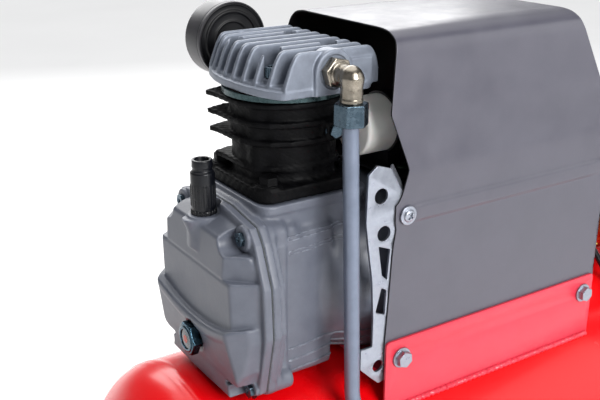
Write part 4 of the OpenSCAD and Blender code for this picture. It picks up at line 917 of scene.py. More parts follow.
def close_tree(tree, given, out, copies):
    """Ends a tree as the export needs it: real geometry with its material"""
    real = add(tree, "GeometryNodeRealizeInstances", None, {"Geometry": copies})
    painted = add(tree, "GeometryNodeSetMaterial", None,
            {"Geometry": real.outputs[0], "Material": given.outputs["Finish"]})
    tree.links.new(painted.outputs[0], out.inputs[0])
    return tree


def fastener_tree():
    """Sets one item at each marked point, turned to the way it faces and spun by a fixed seed"""
    tree, given, out, item = tree_with("set_fasteners", {"Item": "Object", "Finish": "Material", "Seed": "Int"})
    way = add(tree, "GeometryNodeInputNamedAttribute", {"data_type": "FLOAT_VECTOR", "Name": "facing"})
    lean = add(tree, "FunctionNodeAlignRotationToVector", {"axis": "Z"}, {"Vector": way.outputs[0]})
    spin = add(tree, "FunctionNodeRandomValue", {"data_type": "FLOAT", 3: 6.283},
            {"Seed": given.outputs["Seed"]})
    about = add(tree, "FunctionNodeAxisAngleToRotation", {"Axis": (0, 0, 1)}, {"Angle": spin.outputs[1]})
    both_turns = add(tree, "FunctionNodeRotateRotation", {"rotation_space": "LOCAL"},
            {"Rotation": lean.outputs[0], "Rotate By": about.outputs[0]})
    copies = add(tree, "GeometryNodeInstanceOnPoints", None,
            {"Points": given.outputs["Geometry"], "Instance": item.outputs["Geometry"],
            "Rotation": both_turns.outputs[0]})
    return close_tree(tree, given, out, copies.outputs[0])


def circle_tree():
    """Sets an item round a circle, its X axis pointing outwards"""
    tree, given, out, item = tree_with("set_round_a_circle", {"Item": "Object", "Finish": "Material",
            "Count": "Int", "Radius": "Float", "Start": "Float"})
    ring = add(tree, "GeometryNodeMeshCircle", None,
            {"Vertices": given.outputs["Count"], "Radius": given.outputs["Radius"]})
    spot = add(tree, "GeometryNodeInputPosition")
    lean = add(tree, "FunctionNodeAlignRotationToVector", {"axis": "X"}, {"Vector": spot.outputs[0]})
    copies = add(tree, "GeometryNodeInstanceOnPoints", None,
            {"Points": ring.outputs[0], "Instance": item.outputs["Geometry"], "Rotation": lean.outputs[0]})
    turn = add(tree, "ShaderNodeCombineXYZ", None, {"Z": given.outputs["Start"]})
    spun = add(tree, "GeometryNodeTransform", None, {"Geometry": copies.outputs[0],
            "Rotation": turn.outputs[0]})
    return close_tree(tree, given, out, spun.outputs[0])


def row_tree():
    """Sets an item in a straight row"""
    tree, given, out, item = tree_with("set_in_a_row", {"Item": "Object", "Finish": "Material", "Count": "Int",
            "Start": "Vector", "Step": "Vector"})
    line = add(tree, "GeometryNodeMeshLine", None,
            {"Count": given.outputs["Count"], "Start Location": given.outputs["Start"],
            "Offset": given.outputs["Step"]})
    copies = add(tree, "GeometryNodeInstanceOnPoints", None,
            {"Points": line.outputs[0], "Instance": item.outputs["Geometry"]})
    return close_tree(tree, given, out, copies.outputs[0])


TREES = {"fasteners": fastener_tree(), "circle": circle_tree(), "row": row_tree()}


def move(mesh, change):
    """Puts a mesh's points where a function of their coordinates says"""
    co = np.zeros(len(mesh.vertices) * 3)
    mesh.vertices.foreach_get("co", co)
    mesh.vertices.foreach_set("co", change(co.reshape(-1, 3)).astype(np.float32).ravel())
    mesh.update()


def set_out(name, kind, item, axis="z", centre=(0, 0, 0), spots=None, **inputs):
    """Runs one of the trees and keeps its result as a plain mesh; all numbers are in millimetres"""
    carrier = bpy.data.meshes.new(name)
    if spots:
        carrier.from_pydata([s[0] for s in spots], [], [])
        carrier.attributes.new("facing", "FLOAT_VECTOR", "POINT").data.foreach_set(
            "vector", np.array([s[1] for s in spots], np.float32).ravel())
    else:
        carrier.from_pydata([(0, 0, 0)], [], [])
    holder = shown(name, carrier)
    run = holder.modifiers.new("copies", "NODES")
    run.node_group = TREES[kind]
    given = {"Item": item, "Finish": item.data.materials[0], **inputs}
    for socket in TREES[kind].interface.items_tree:
        if socket.item_type == "SOCKET" and socket.in_out == "INPUT" and socket.name in given:
            run[socket.identifier] = given[socket.name]
    holder.update_tag()
    bpy.context.view_layer.update()
    deps = bpy.context.evaluated_depsgraph_get()
    mesh = bpy.data.meshes.new_from_object(holder.evaluated_get(deps))
    holder.modifiers.remove(run)
    order = {"x": [2, 0, 1], "y": [1, 2, 0], "z": [0, 1, 2]}[axis]
    move(mesh, lambda co: place(co[:, order] + np.array(centre, float)))
    shade(mesh, 30)
    holder.data = mesh
    bpy.data.objects.remove(item)
    return holder


def master(obj):
    """Takes a piece back to bare millimetres about its own origin, as a master for copies"""
    move(obj.data, lambda co: (co - DATUM) * 1000)
    return obj


def hexagon(u, v, across, turn=0.0):
    """The distance to a hexagon, given across its flats"""
    best = -1e9
    for k in range(3):
        t = turn + k * math.pi / 3
        best = np.maximum(best, np.abs(u * math.cos(t) + v * math.sin(t)) - across / 2)
    return best


def hex_head(across, height, washer, washer_height, finish, cross=0.0, step=0.36):
    """A chamfered hexagon head on a washer, facing +Z, with a cross recess if asked"""
    reach = max(across / 2 / math.cos(math.pi / 6), washer) + 1
    m = Mould((-reach, -reach, -1.0), (reach, reach, height + 1), step)
    around = np.hypot(m.x, m.y)
    head = both(hexagon(m.x, m.y, across), np.abs(m.z - height / 2) - height / 2, 0.25)
    head = both(head, (around - across * 0.5 + (m.z - height) * 1.6 - 0.35) * 0.55, 0.2)
    shape = head
    if washer:
        disc = both(around - washer, np.abs(m.z - washer_height / 2) - washer_height / 2, 0.45)
        shape = blend(shape, disc, 0.5)
    if cross:
        arms = np.minimum(np.maximum(np.abs(m.x) - 0.75, np.abs(m.y) - cross),
                np.maximum(np.abs(m.y) - 0.75, np.abs(m.x) - cross))
        arms = np.maximum(arms, (around + (m.z - height) * -1.1) - cross)
        shape = carve(shape, both(arms, height - cross * 0.9 - m.z), 0.3)
    return master(skin("head", m, shape, finish))


def pan_head(radius, height, washer, washer_height, finish, step=0.36):
    """A domed pan head on a wide washer with a cross recess"""
    m = Mould((-washer - 1, -washer - 1, -1), (washer + 1, washer + 1, height + 1), step)
    around = np.hypot(m.x, m.y)
    dome = both(np.sqrt(m.x ** 2 + m.y ** 2 + (m.z - height + 9.4) ** 2) - 9.4, around - radius, 0.8)
    shape = both(dome, -m.z)
    disc = both(around - washer, np.abs(m.z - washer_height / 2) - washer_height / 2, 0.5)
    shape = blend(shape, disc, 0.3)
    arms = np.minimum(np.maximum(np.abs(m.x) - 0.8, np.abs(m.y) - 3.0),
            np.maximum(np.abs(m.y) - 0.8, np.abs(m.x) - 3.0))
    shape = carve(shape, both(arms, height - 2.2 - m.z), 0.3)
    return master(skin("head", m, shape, finish))


def socket_head(radius, height, key, finish, step=0.36):
    """A cap screw's head with a knurled edge and a hexagon socket"""
    m = Mould((-radius - 1, -radius - 1, -1), (radius + 1, radius + 1, height + 1), step)
    around, angle = np.hypot(m.x, m.y), np.arctan2(m.y, m.x)
    head = both(around - radius + 0.16 * np.cos(angle * 30), np.abs(m.z - height / 2) - height / 2, 0.5)
    head = carve(head, both(hexagon(m.x, m.y, key), height * 0.4 - m.z))
    return master(skin("head", m, head, finish))


SY, SZ = (0, 1, 0), (0, 0, 1)
CTRL_X = middle("manifold", 0)
CTRL_Z = low_high("quick_coupler")[0][2] + 10.5


def pump_fasteners():
    """Every screw and nut of the pump, motor and hood, each kind in one piece"""
    face = low_high("crankcase_cover")[1][0] - 7
    spots = [((face, s * y, z), (-1, 0, 0)) for s in (-1, 1) for y, z in COVER_SCREWS]
    obj = set_out("cover_screw_heads", "fasteners", hex_head(10, 5.0, 7, 1.5, blue_zinc, 2.4),
            spots=spots, Seed=4)
    finish_piece(obj, "zinc", "cover_screws")
    spots = [((CYL_X + a * HEAD_BOLT, b * HEAD_BOLT, HEAD_Z + 11), SZ) for a in (-1, 1) for b in (-1, 1)]
    obj = set_out("head_cap_screws", "fasteners", socket_head(6.5, 8, 6, blue_zinc), spots=spots, Seed=7)
    finish_piece(obj, "zinc", "head_bolts")
    spots = [((CYL_X + FOOT_BOLT * a, FOOT_BOLT * b, SEAT + GASKET + 11.4), SZ) for a in (-1, 1) for b in (-1,
            1)]
    nuts = set_out("foot_nuts", "fasteners", hex_head(13, 7, 8.6, 1.2, black_iron), spots=spots, Seed=2)
    finish_piece(nuts, "black_iron")
    side = set_out("side_bolt", "fasteners", hex_head(10, 5.2, 7.4, 1.3, blue_zinc),
            spots=[((CYL_X + 16, low_high("cylinder_bolts")[0][1] + 5.0, DECK - 24), (0, -1, 0))], Seed=1)
    finish_piece(side, "zinc", "cylinder_bolts")
    spots = [((111, s * (HOOD_HALF + 0.2), 65), (0, s, 0)) for s in (-1, 1)]
    pans = set_out("hood_pan_screws", "fasteners", pan_head(5, 4.4, 7.5, 1.9, bright_zinc),
            spots=spots, Seed=3)
    finish_piece(pans, "zinc", "hood_screws")
    spots = [((x, s * (HOOD_HALF + 2.5), -54), (0, s, 0)) for s in (-1, 1) for x in (109, 320)]
    flanged = set_out("saddle_bolts", "fasteners", hex_head(12, 6.5, 8.5, 1.7, bright_zinc),
            spots=spots, Seed=9)
    finish_piece(flanged, "zinc")


def hood():
    """The hood: one sheet folded over the motor, stepped at its front edge, with a slotted back"""
    end = low_high("hood")[1][0]
    half = eased([(85, -62), (85, 100), (77, 141), (72, 186), (69.5, 193), (62, 198.4), (52, 200), (0, 200)],
            5, 4)
    z_marks = sorted(set(list(np.arange(-62, 100, 6.5)) + [54, 56, 57, 58, 59, 60, 61.5, 68.5, 70, 71, 72, 73,
            74, 76]))
    side = [(85.0, float(v)) for v in z_marks if v < 94] + [p for p in half if p[1] >= 94]
    section = [(-w, v) for w, v in side] + [(w, v) for w, v in side[::-1] if w > 1e-6]
    edge = [(-62, 94), (-38, 94), (-8, 96), (39, 98.5), (55, 101), (61, 100), (74, 100), (77, 104), (92, 109),
            (100, 111.4), (104, 110.6), (123, 105), (141.5, 99), (152, 101), (164, 103), (176, 104),
            (194, 107), (205, 107)]

    def front(v):
        return float(np.interp(v, [e[0] for e in edge], [e[1] for e in edge]))

    def back(v):
        return end if v < 118 else end - (v - 118) * 40 / 85

    steps = [0, 0.004, 0.012] + list(np.linspace(0.03, 0.12, 9)) + list(np.linspace(0.15, 0.97, 22)) + [0.99,
            1.0]
    points, faces = [], []
    for w, v in section:
        a, b = front(v), back(v)
        for t in steps:
            px = a + (b - a) * t
            rise = 0.0
            if abs(w) > 84:
                up = np.clip((v - 57.5) / 2.5, 0, 1) * np.clip((72.5 - v) / 2.5, 0, 1)
                rise = 1.3 * (3 * up ** 2 - 2 * up ** 3) * np.clip((px - 117) / 3, 0,
                        1) * np.clip((b - 8 - px) / 3, 0, 1)
            crown = 1.8 * (1 - (w / 62) ** 2) if abs(w) < 62 and v > 195 else 0
            points.append((px, w + math.copysign(rise, w), min(v + crown * math.sin(math.pi * min(t * 1.1,
                    1)), 202)))
    n = len(steps)
    for i in range(len(section) - 1):
        for j in range(n - 1):
            faces.append([i * n + j, i * n + j + 1, (i + 1) * n + j + 1, (i + 1) * n + j])
    # the back wall, between the two sides, with its slots left open
    base = len(points)
    slots = [(z0, z0 + 6) for z0 in range(-30, 97, 14)]
    levels = sorted(set([v for w, v in side] + [s for pair in slots for s in pair] + [118.0]))

    def wall_w(v):
        return float(np.interp(v, [p[1] for p in side[:-1]] + [200.2], [p[0] for p in side[:-1]] + [50]))

    across = [-1.0, -0.93, -0.8, -55 / 85] + list(np.linspace(-0.5, 0.5, 7)) + [55 / 85, 0.8, 0.93, 1.0]
    for v in levels:
        for u in across:
            points.append((back(v),
                    wall_w(v) * u if abs(u) > 0.99 else 85 * u * (wall_w(v) / 85 if v > 96 else 1), v))
    c = len(across)
    for i in range(len(levels) - 1):
        middle = (levels[i] + levels[i + 1]) / 2
        for j in range(c - 1):
            u = (across[j] + across[j + 1]) / 2
            if abs(u) < 55 / 85 and any(a < middle < b for a, b in slots):
                continue
            faces.append([base + i * c + j, base + i * c + j + 1, base + (i + 1) * c + j + 1,
                    base + (i + 1) * c + j])
    obj = solid("hood_sheet", points, faces, [hood_grey, hood_inside_painted_shade], 0)
    weld(obj, 0.05)
    obj.data.set_sharp_from_angle(angle=math.radians(40))
    wall = obj.modifiers.new("sheet", "SOLIDIFY")
    wall.thickness = 0.0012
    wall.offset = -1.0
    wall.use_even_offset = True
    # the inner side and the cut edges take the near-black painted shade
    wall.material_offset = 1
    wall.material_offset_rim = 1
    finish_piece(obj, "hood_paint", "hood")
    # a drawn lip over each slot
    lip = turned("lip", "y", (0, 0, 0), [(-56, 0.0), (-55, 1.5), (55, 1.5), (56, 0.0)], hood_grey, 10)
    lips = set_out("slot_lips", "row", master(lip), Count=10, Start=(end + 0.4, 0, -23.6),
            Step=(0.0, 0.0, 14.0))
    finish_piece(lips, "hood_paint")


def side_brackets():
    """The two zinc-plated steel brackets, pierced and with a folded lip"""
    outline = [(75, 102), (83, 108), (95, 104), (107, 82), (121, 78), (121, 52), (108, 45), (103, -40),
            (119, -45),
            (119, -60), (104, -62), (96, -72), (90, -73.5), (81, -65), (72, -56), (72, -39), (83, -39),
            (83, -15), (81, 18), (77, 43), (74, 65), (74.5, 86)]
    holes = [circle(87, 84, 6), circle(90.5, 54, 6), eased_loop([(86, 44.5), (97, 40), (95, 15), (90, 20)],
            1.2), eased_loop([(90, 9.5), (95, 6.5), (94, -14), (85, -10)], 1.2), circle(89, -57.5, 5),
            circle(111, 65, 3.2), circle(109, -54, 4.2)]
    parts = []
    for side in (-1, 1):
        start = -83.7 if side < 0 else 81.2
        parts.append(plate("bracket", "xz", eased_loop(outline, 1.2, 2), holes, start, 2.5, bright_zinc, 0.4))
        # the lip, folded in along the upper right edges and down the waist
        bend = [(95.3, 103.4), (106.6, 82.6), (106.9, 79), (107.3, 60), (105.5, 20), (103.2, -36)]
        width = [6.5, 7.5, 5.5, 4.0, 4.0, 4.0]
        pts, faces = [], []
        for (bx, bz), wide in zip(bend, width):
            for k in range(5):
                t = k / 4 * wide
                ridge = 0.25 * math.sin(k * 3.1)
                pts.append((bx + t * 0.72, side * (83.0 - t * 0.69 + ridge),
                        bz + (0.25 * t if bz > 80 else 0)))
        for i in range(len(bend) - 1):
            for k in range(4):
                faces.append([i * 5 + k, i * 5 + k + 1, (i + 1) * 5 + k + 1, (i + 1) * 5 + k])
        lip = solid("lip", pts, faces if side < 0 else [f[::-1] for f in faces], bright_zinc, 30)
        wall = lip.modifiers.new("sheet", "SOLIDIFY")
        wall.thickness, wall.offset = 0.0016, 0.0
        parts.append(lip)
        foot = plate("foot", "yz", [(-6, -56), (6, -56), (6, -39), (-6, -39)], [], 72, 2.2, bright_zinc, 0.4)
        foot.data.transform(Matrix.Translation((0, side * 0.0725, 0)))
        parts.append(foot)
    finish_piece(join("pierced_side_brackets", parts), "bright_zinc", "side_brackets")


def saddle():
    """The saddle: two bolted cheeks on a deck, welded down to the tank"""
    parts = []
    for side in (-1, 1):
        outline = eased([(94, -98.6), (94, -38), (333, -38), (333, -98.6)], 4, 3)
        parts.append(plate("cheek", "xz", outline, [circle(109, -54, 4.3), circle(320, -54, 4.3)],
                -87.5 if side < 0 else 85, 2.5, saddle_red_with_painted_sheen, 0.5))
        run = [(x, side * (87.9 + 0.25 * math.sin(x * 1.9)), -98.2 + 0.2 * math.sin(x * 2.3))
               for x in np.arange(96, 332, 1.4)]
        parts.append(tube("weld", run, [2.3 + 0.35 * math.sin(i * 1.7) for i in range(len(run))], saddle_red_with_painted_sheen,
                10))
    deck = [(106.5, -84.6), (332, -84.6), (332, 84.6), (106.5, 84.6), (106.5, 78.6), (95, 78.6), (95, -78.6),
            (106.5, -78.6)]
    parts.append(plate("deck", "xy", deck, [], -70, 3, saddle_red_with_painted_sheen, 0.5))
    finish_piece(join("welded_saddle", parts), "tank_paint", "saddle")


def tank():
    """The pressure vessel: a rolled shell with dished ends, girth welds, sockets and their fillet welds"""
    low, high = low_high("tank")
    dome = 75.0
    radius, start, end, axis_z = TANK_R, low[0] + dome, high[0] - dome, TANK_Z
    profile = [(start - dome, 0.0)]
    for k in range(1, 40):
        t = math.radians(90 * k / 40)
        profile.append((start - dome * math.cos(t), radius * math.sin(t)))
    for centre, way in ((start, 1), (end, -1)):
        bead = [(centre - 7, radius), (centre - 4.5, radius)]
        bead += [(centre - 4.5 + 9 * k / 8, radius + 0.7 * math.sin(math.pi * k / 8)) for k in range(1, 8)]
        bead += [(centre + 4.5, radius), (centre + 7, radius)]
        profile += bead
    for k in range(1, 40):
        t = math.radians(90 * (1 - k / 40))
        profile.append((end + dome * math.cos(t), radius * math.sin(t)))
    profile.append((end + dome, 0.0))
    profile = [p for i, p in enumerate(profile) if not (0 < i < len(profile) - 1 and
            start - 7 < p[0] < start - 0.01 and p[1] < radius - 0.001 and abs(p[0] - start) < 7)]
    parts = [turned("shell", "x", (0, 0, axis_z), profile, tank_red, 160, 60)]
    for axis, at, reach, r in (("z", (CTRL_X, 0, axis_z + radius), 10, 17),
            ("z", (300, 0, axis_z - radius), -8, 14), ("y", (ELBOW_X, -radius, axis_z), -10, 15)):
        way = 1 if reach > 0 else -1
        prof = [(-4 * way, 0.0), (-4 * way, r + 4.0), (0, r + 3.6), (2.2 * way, r + 1.6), (3.6 * way, r),
                (reach - 1.2 * way, r), (reach, r - 1.2), (reach, 0.0)]
        parts.append(turned("socket", axis, at, prof, tank_red, 48))
    # the long seam of the shell, ground nearly flush along the far underside
    t = math.radians(205)
    seam = [(x, radius * math.sin(t), axis_z - radius * abs(math.cos(t))) for x in np.arange(start, end, 6)]
    parts.append(tube("seam", seam, 2.0, tank_red, 10))
    finish_piece(join("pressure_vessel", parts), "tank_paint", "tank")


def outlet():
    """The cast elbow with its hexagon collar, the compression nut and the delivery pipe"""
    m = Mould((ELBOW_X - 13, ELBOW_Y - 9.5, ELBOW_Z - 19), (ELBOW_X + 13, -44.5, ELBOW_Z + 12.5), fine(0.5))
    u, w = m.x - ELBOW_X, m.z - ELBOW_Z
    collar = both(hexagon(u, w, 20, 0.3), np.abs(m.y + 57.5) - 3.5, 0.7)
    ring = both(np.hypot(u, w) - 8.6, np.abs(m.y + 61.6) - 1.2, 0.6)
    arm = both(np.hypot(u, w) - 7.3, np.abs(m.y - (ELBOW_Y - 54) / 2) - (-54 - ELBOW_Y) / 2)
    ball = np.sqrt(u ** 2 + (m.y - ELBOW_Y) ** 2 + w ** 2) - 8.1
    leg = both(np.hypot(u, m.y - ELBOW_Y) - 7.9, np.abs(w + 9) - 9, 0.3)
    foot = both(np.hypot(u, m.y - ELBOW_Y) - 8.0, np.abs(w + 16.4) - 1.6, 0.7)
    shape = blend(blend(blend(collar, ring, 0.8), arm, 0.8), blend(ball, leg, 3.0), 2.0)
    shape = blend(shape, foot, 1.0)
    obj = skin("cast_elbow", m, shape, nickel_brass)
    finish_piece(obj, "nickel_brass", "outlet_elbow")
    lo, hi = low_high("tube_nuts")
    top = hi[2]
    m = Mould((ELBOW_X - 14, ELBOW_Y - 14, top - 18), (ELBOW_X + 14, ELBOW_Y + 14, top + 1.5), fine(0.5))
    u, v = m.x - ELBOW_X, m.y - ELBOW_Y
    body = both(hexagon(u, v, 22, 0.15), np.abs(m.z - (top - 8)) - 8, 0.4)
    cone = np.hypot(u, v) - 11.8 + (np.abs(m.z - (top - 8)) - 8) * 1.5
    nut = carve(both(body, cone * 0.55, 0.3), np.hypot(u, v) - 6.05)
    upper = skin("nut", m, nut, blue_zinc)
    lower = shown("nut", upper.data.copy())
    lower.data.transform(Matrix.Translation((0, (lo[1] + 11.0 - ELBOW_Y) / 1000,
            (lo[2] - (top - 16)) / 1000)))
    finish_piece(join("pipe_nuts", [upper, lower]), "teal_zinc", "tube_nuts")
    valve_y = lo[1] + 11.0
    path = rounded_path([(ELBOW_X, ELBOW_Y, ELBOW_Z - 19), (ELBOW_X, ELBOW_Y, ELBOW_Z - 40),
            (ELBOW_X, ELBOW_Y - 9, -82),
            (ELBOW_X, valve_y, TANK_Z + 62), (ELBOW_X, valve_y, TANK_Z + 21)], 24, 12)
    pipe = tube("delivery_pipe", finely(path, 8), 6.0, pipe_grey, 36, bore=4.6)
    finish_piece(pipe, "grey_tube", "delivery_tube")


def breather_and_glass():
    """The ribbed breather cap, and the oil sight glass with its float and lens"""
    high = low_high("oil_breather")[1]
    base = 66.0
    prof = eased([(50, 0.0), (50, 6.9), (base, 6.9), (base, 9.4), (base + 2.6, 9.4), (base + 3.2, 8.9),
            (base + 4, 9.3),
            (high[2] - 10, 9.2), (high[2] - 9.2, 8.6), (high[2] - 8.4, 7.6), (high[2] - 6.4, 7.4),
            (high[2] - 5.6, 7.9), (high[2], 7.7), (high[2], 5.6), (high[2] - 3, 5.4),
            (high[2] - 3, 0.0)], 0.5, 3)
    cap = turned("breather", "z", (BREATHER_X, 0, 0), prof, cap_plastic, 72)
    rib = master(turned("rib", "z", (0, 0, 0), [(0, 0.0), (0, 0.9), (2.6, 0.9), (3.4, 0.5), (3.4, 0.0)],
            cap_plastic, 10))
    scallops = set_out("scallops", "circle", rib, centre=(BREATHER_X, 0, base + 0.2), Count=20, Radius=9.0)
    grip = master(turned("rib", "z", (0, 0, 0), [(0, 0.0), (0.6, 0.5), (17, 0.5), (17.6, 0.0)], cap_plastic,
            8))
    ribs = set_out("ribs", "circle", grip, centre=(BREATHER_X, 0, base + 6), Count=24, Radius=9.1, Start=0.1)
    finish_piece(join("breather_cap", [cap, scallops, ribs]), "black_plastic", "oil_breather")
    lo, hi = low_high("sight_glass")
    m = Mould((lo[0] - 1.2, -15, SIGHT_Z - 15), (lo[0] + 10, 15, SIGHT_Z + 15), fine(0.5))
    y, z = m.y, m.z - SIGHT_Z
    around = np.hypot(y, z)
    body = both(hexagon(y, z, 24, 0.5), np.abs(m.x - lo[0] - 4.2) - 3.4, 0.4)
    body = both(body, (around - 12.6 - (m.x - lo[0] - 1.0) * 1.6) * 0.55, 0.3)
    rim = both(around - 10.4, np.abs(m.x - lo[0] - 1.2) - 1.2, 0.6)
    shell = carve(blend(body, rim, 0.5), both(around - 8.0, m.x - lo[0] - 2.0, 0.4), 0.3)
    glass_rim = skin("sight_glass_body", m, shell, teal_zinc)
    stem = turned("stem", "x", (0, 0, SIGHT_Z), [(lo[0] + 7, 0.0), (lo[0] + 7, 8.9), (hi[0] - 1, 8.9),
            (hi[0], 8), (hi[0], 0.0)], teal_zinc, 40)
    disc = turned("disc", "x", (0, 0, SIGHT_Z), [(lo[0] + 1.9, 0.0), (lo[0] + 1.9, 7.9), (lo[0] + 2.6, 7.9),
            (lo[0] + 2.6, 0.0)], cap_plastic, 40)
    dot = turned("dot", "x", (0, 0, SIGHT_Z), [(lo[0] + 0.1, 0.0), (lo[0] + 0.2, 3.0), (lo[0] + 0.6, 3.5),
            (lo[0] + 2.2, 3.5), (lo[0] + 2.2, 0.0)], level_red, 32)
    finish_piece(join("oil_sight_glass", [glass_rim, stem, disc, dot]), "teal_zinc", "sight_glass")
    lens = turned("sight_lens", "x", (0, 0, SIGHT_Z), [(lo[0] + 0.25, 0.0), (lo[0] + 0.5, 5.2),
            (lo[0] + 0.9, 7.8), (lo[0] + 1.3, 7.8), (lo[0] + 1.3, 0.0)], smoked_lens, 40)
    finish_piece(lens, "teal_zinc")


def air_filter():
    """The intake filter: a grey drum with a ringed black back plate turned to the pump"""
    lo, hi = low_high("filter_cover")
    cz = (lo[2] + hi[2]) / 2
    y0, y1 = lo[1], hi[1]
    drum = eased([(y0 - 0.2, 29.8), (y0 - 0.4, 30.6), (y0, 31), (y0 + 3, 31), (y0 + 3.6, 30.6),
            (y0 + 4.2, 31), (y1 - 4, 31), (y1 - 1, 29.5), (y1, 26), (y1, 0.0)], 0.8, 3)
    outer = drum + [(y1 - 2, 0.0), (y1 - 2, 25.5), (y1 - 3.2, 28.4), (y0 + 1, 29.8)]
    parts = [turned("drum", "y", (CYL_X, 0, cz), outer, drum_grey, 96)]
    face = [(y0 + 4, 0.0), (y0 + 4, 29.4), (y0 + 0.4, 29.4), (y0 + 0.2, 28.6), (y0 + 0.9, 27.9),
            (y0 + 0.9, 24.6),
            (y0 - 0.3, 23.9), (y0 - 0.3, 22.2), (y0 + 0.8, 21.6), (y0 + 0.8, 16.5), (y0 + 0.1, 15.8),
            (y0 + 0.1, 14.6), (y0 + 0.8, 14.0), (y0 + 0.6, 9.0)]
    lowest = HEAD_Z + 17
    back = turned("back", "y", (CYL_X, 0, cz), eased(face, 0.3, 2) + [(y0 + 0.6, 0.0)], black_plastic, 96)
    neck = turned("neck", "y", (CYL_X, 0, lowest), eased([(61, 0.0), (61, 8.0), (68, 8.0), (68, 11.8),
            (71.6, 12), (72.2, 9.0), (y0 + 1, 9.4), (y0 + 1, 0.0)], 0.5), black_plastic, 48)
    parts += [back, neck]
    fin = master(solid("vane", [(14, -1.2, 0), (24, -1.2, 0), (24, 1.2, 0), (14, 1.2, 0), (14, -0.8, 1.0),
            (24, -0.8, 1.0), (24, 0.8, 1.0), (14, 0.8, 1.0)], BOX_FACES, drum_grey))
    vanes = set_out("vanes", "circle", fin, axis="y", centre=(CYL_X, y1 - 0.4, cz), Count=12, Radius=0.01)
    finish_piece(join("air_filter", parts + [vanes]), "filter_paint", "filter_cover", "filter_base")


def capacitor():
    """The white capacitor can and the green plug beside it"""
    lo, hi = low_high("capacitor")
    cy, cz, r = (lo[1] + hi[1]) / 2, (lo[2] + hi[2]) / 2, (hi[2] - lo[2]) / 2
    prof = eased([(lo[0], 0.0), (lo[0], r - 1.6), (lo[0] + 1.6, r), (196, r), (196.6, r - 0.8),
            (198, r - 0.8), (199, r - 4), (199, 8), (hi[0], 7), (hi[0], 0.0)], 2.2, 5)
    finish_piece(turned("capacitor_can", "x", (0, cy, cz), prof, white_plastic, 72), "white_plastic",
            "capacitor")
    plug = turned("green_plug", "z", (141, -40, 0), eased([(85.2, 0.0), (85.2, 6.9), (86.2, 7.0), (87.6, 6.2),
            (87.9, 0.0)], 0.6), green_plastic, 40)
    finish_piece(plug, "black_plastic")


pump_fasteners()
hood()
side_brackets()
saddle()
tank()
outlet()
breather_and_glass()
air_filter()
capacitor()

# ---------- the barrow ----------

AXLE = low_high("tyre")
AXLE_X, AXLE_Z = middle("tyre", 0), middle("tyre", 2)
WHEEL_R, TYRE_HALF, RIM_R = (AXLE[1][0] - AXLE[0][0]) / 2, AXLE[1][1], 62.0
RUN_Z = TANK_Z - 64
RUN_Y = low_high("rear_legs")[1][1] - 12.5
LEG_X = middle("rear_legs", 0)
GROUND = low_high("rubber_feet")[0][2]
HANDLE = low_high("handle_grips")
HANDLE_Z, HANDLE_Y = middle("handle_grips", 2), HANDLE[1][1] - 17.5
AT_AXLE = (AXLE_X, 0, AXLE_Z)


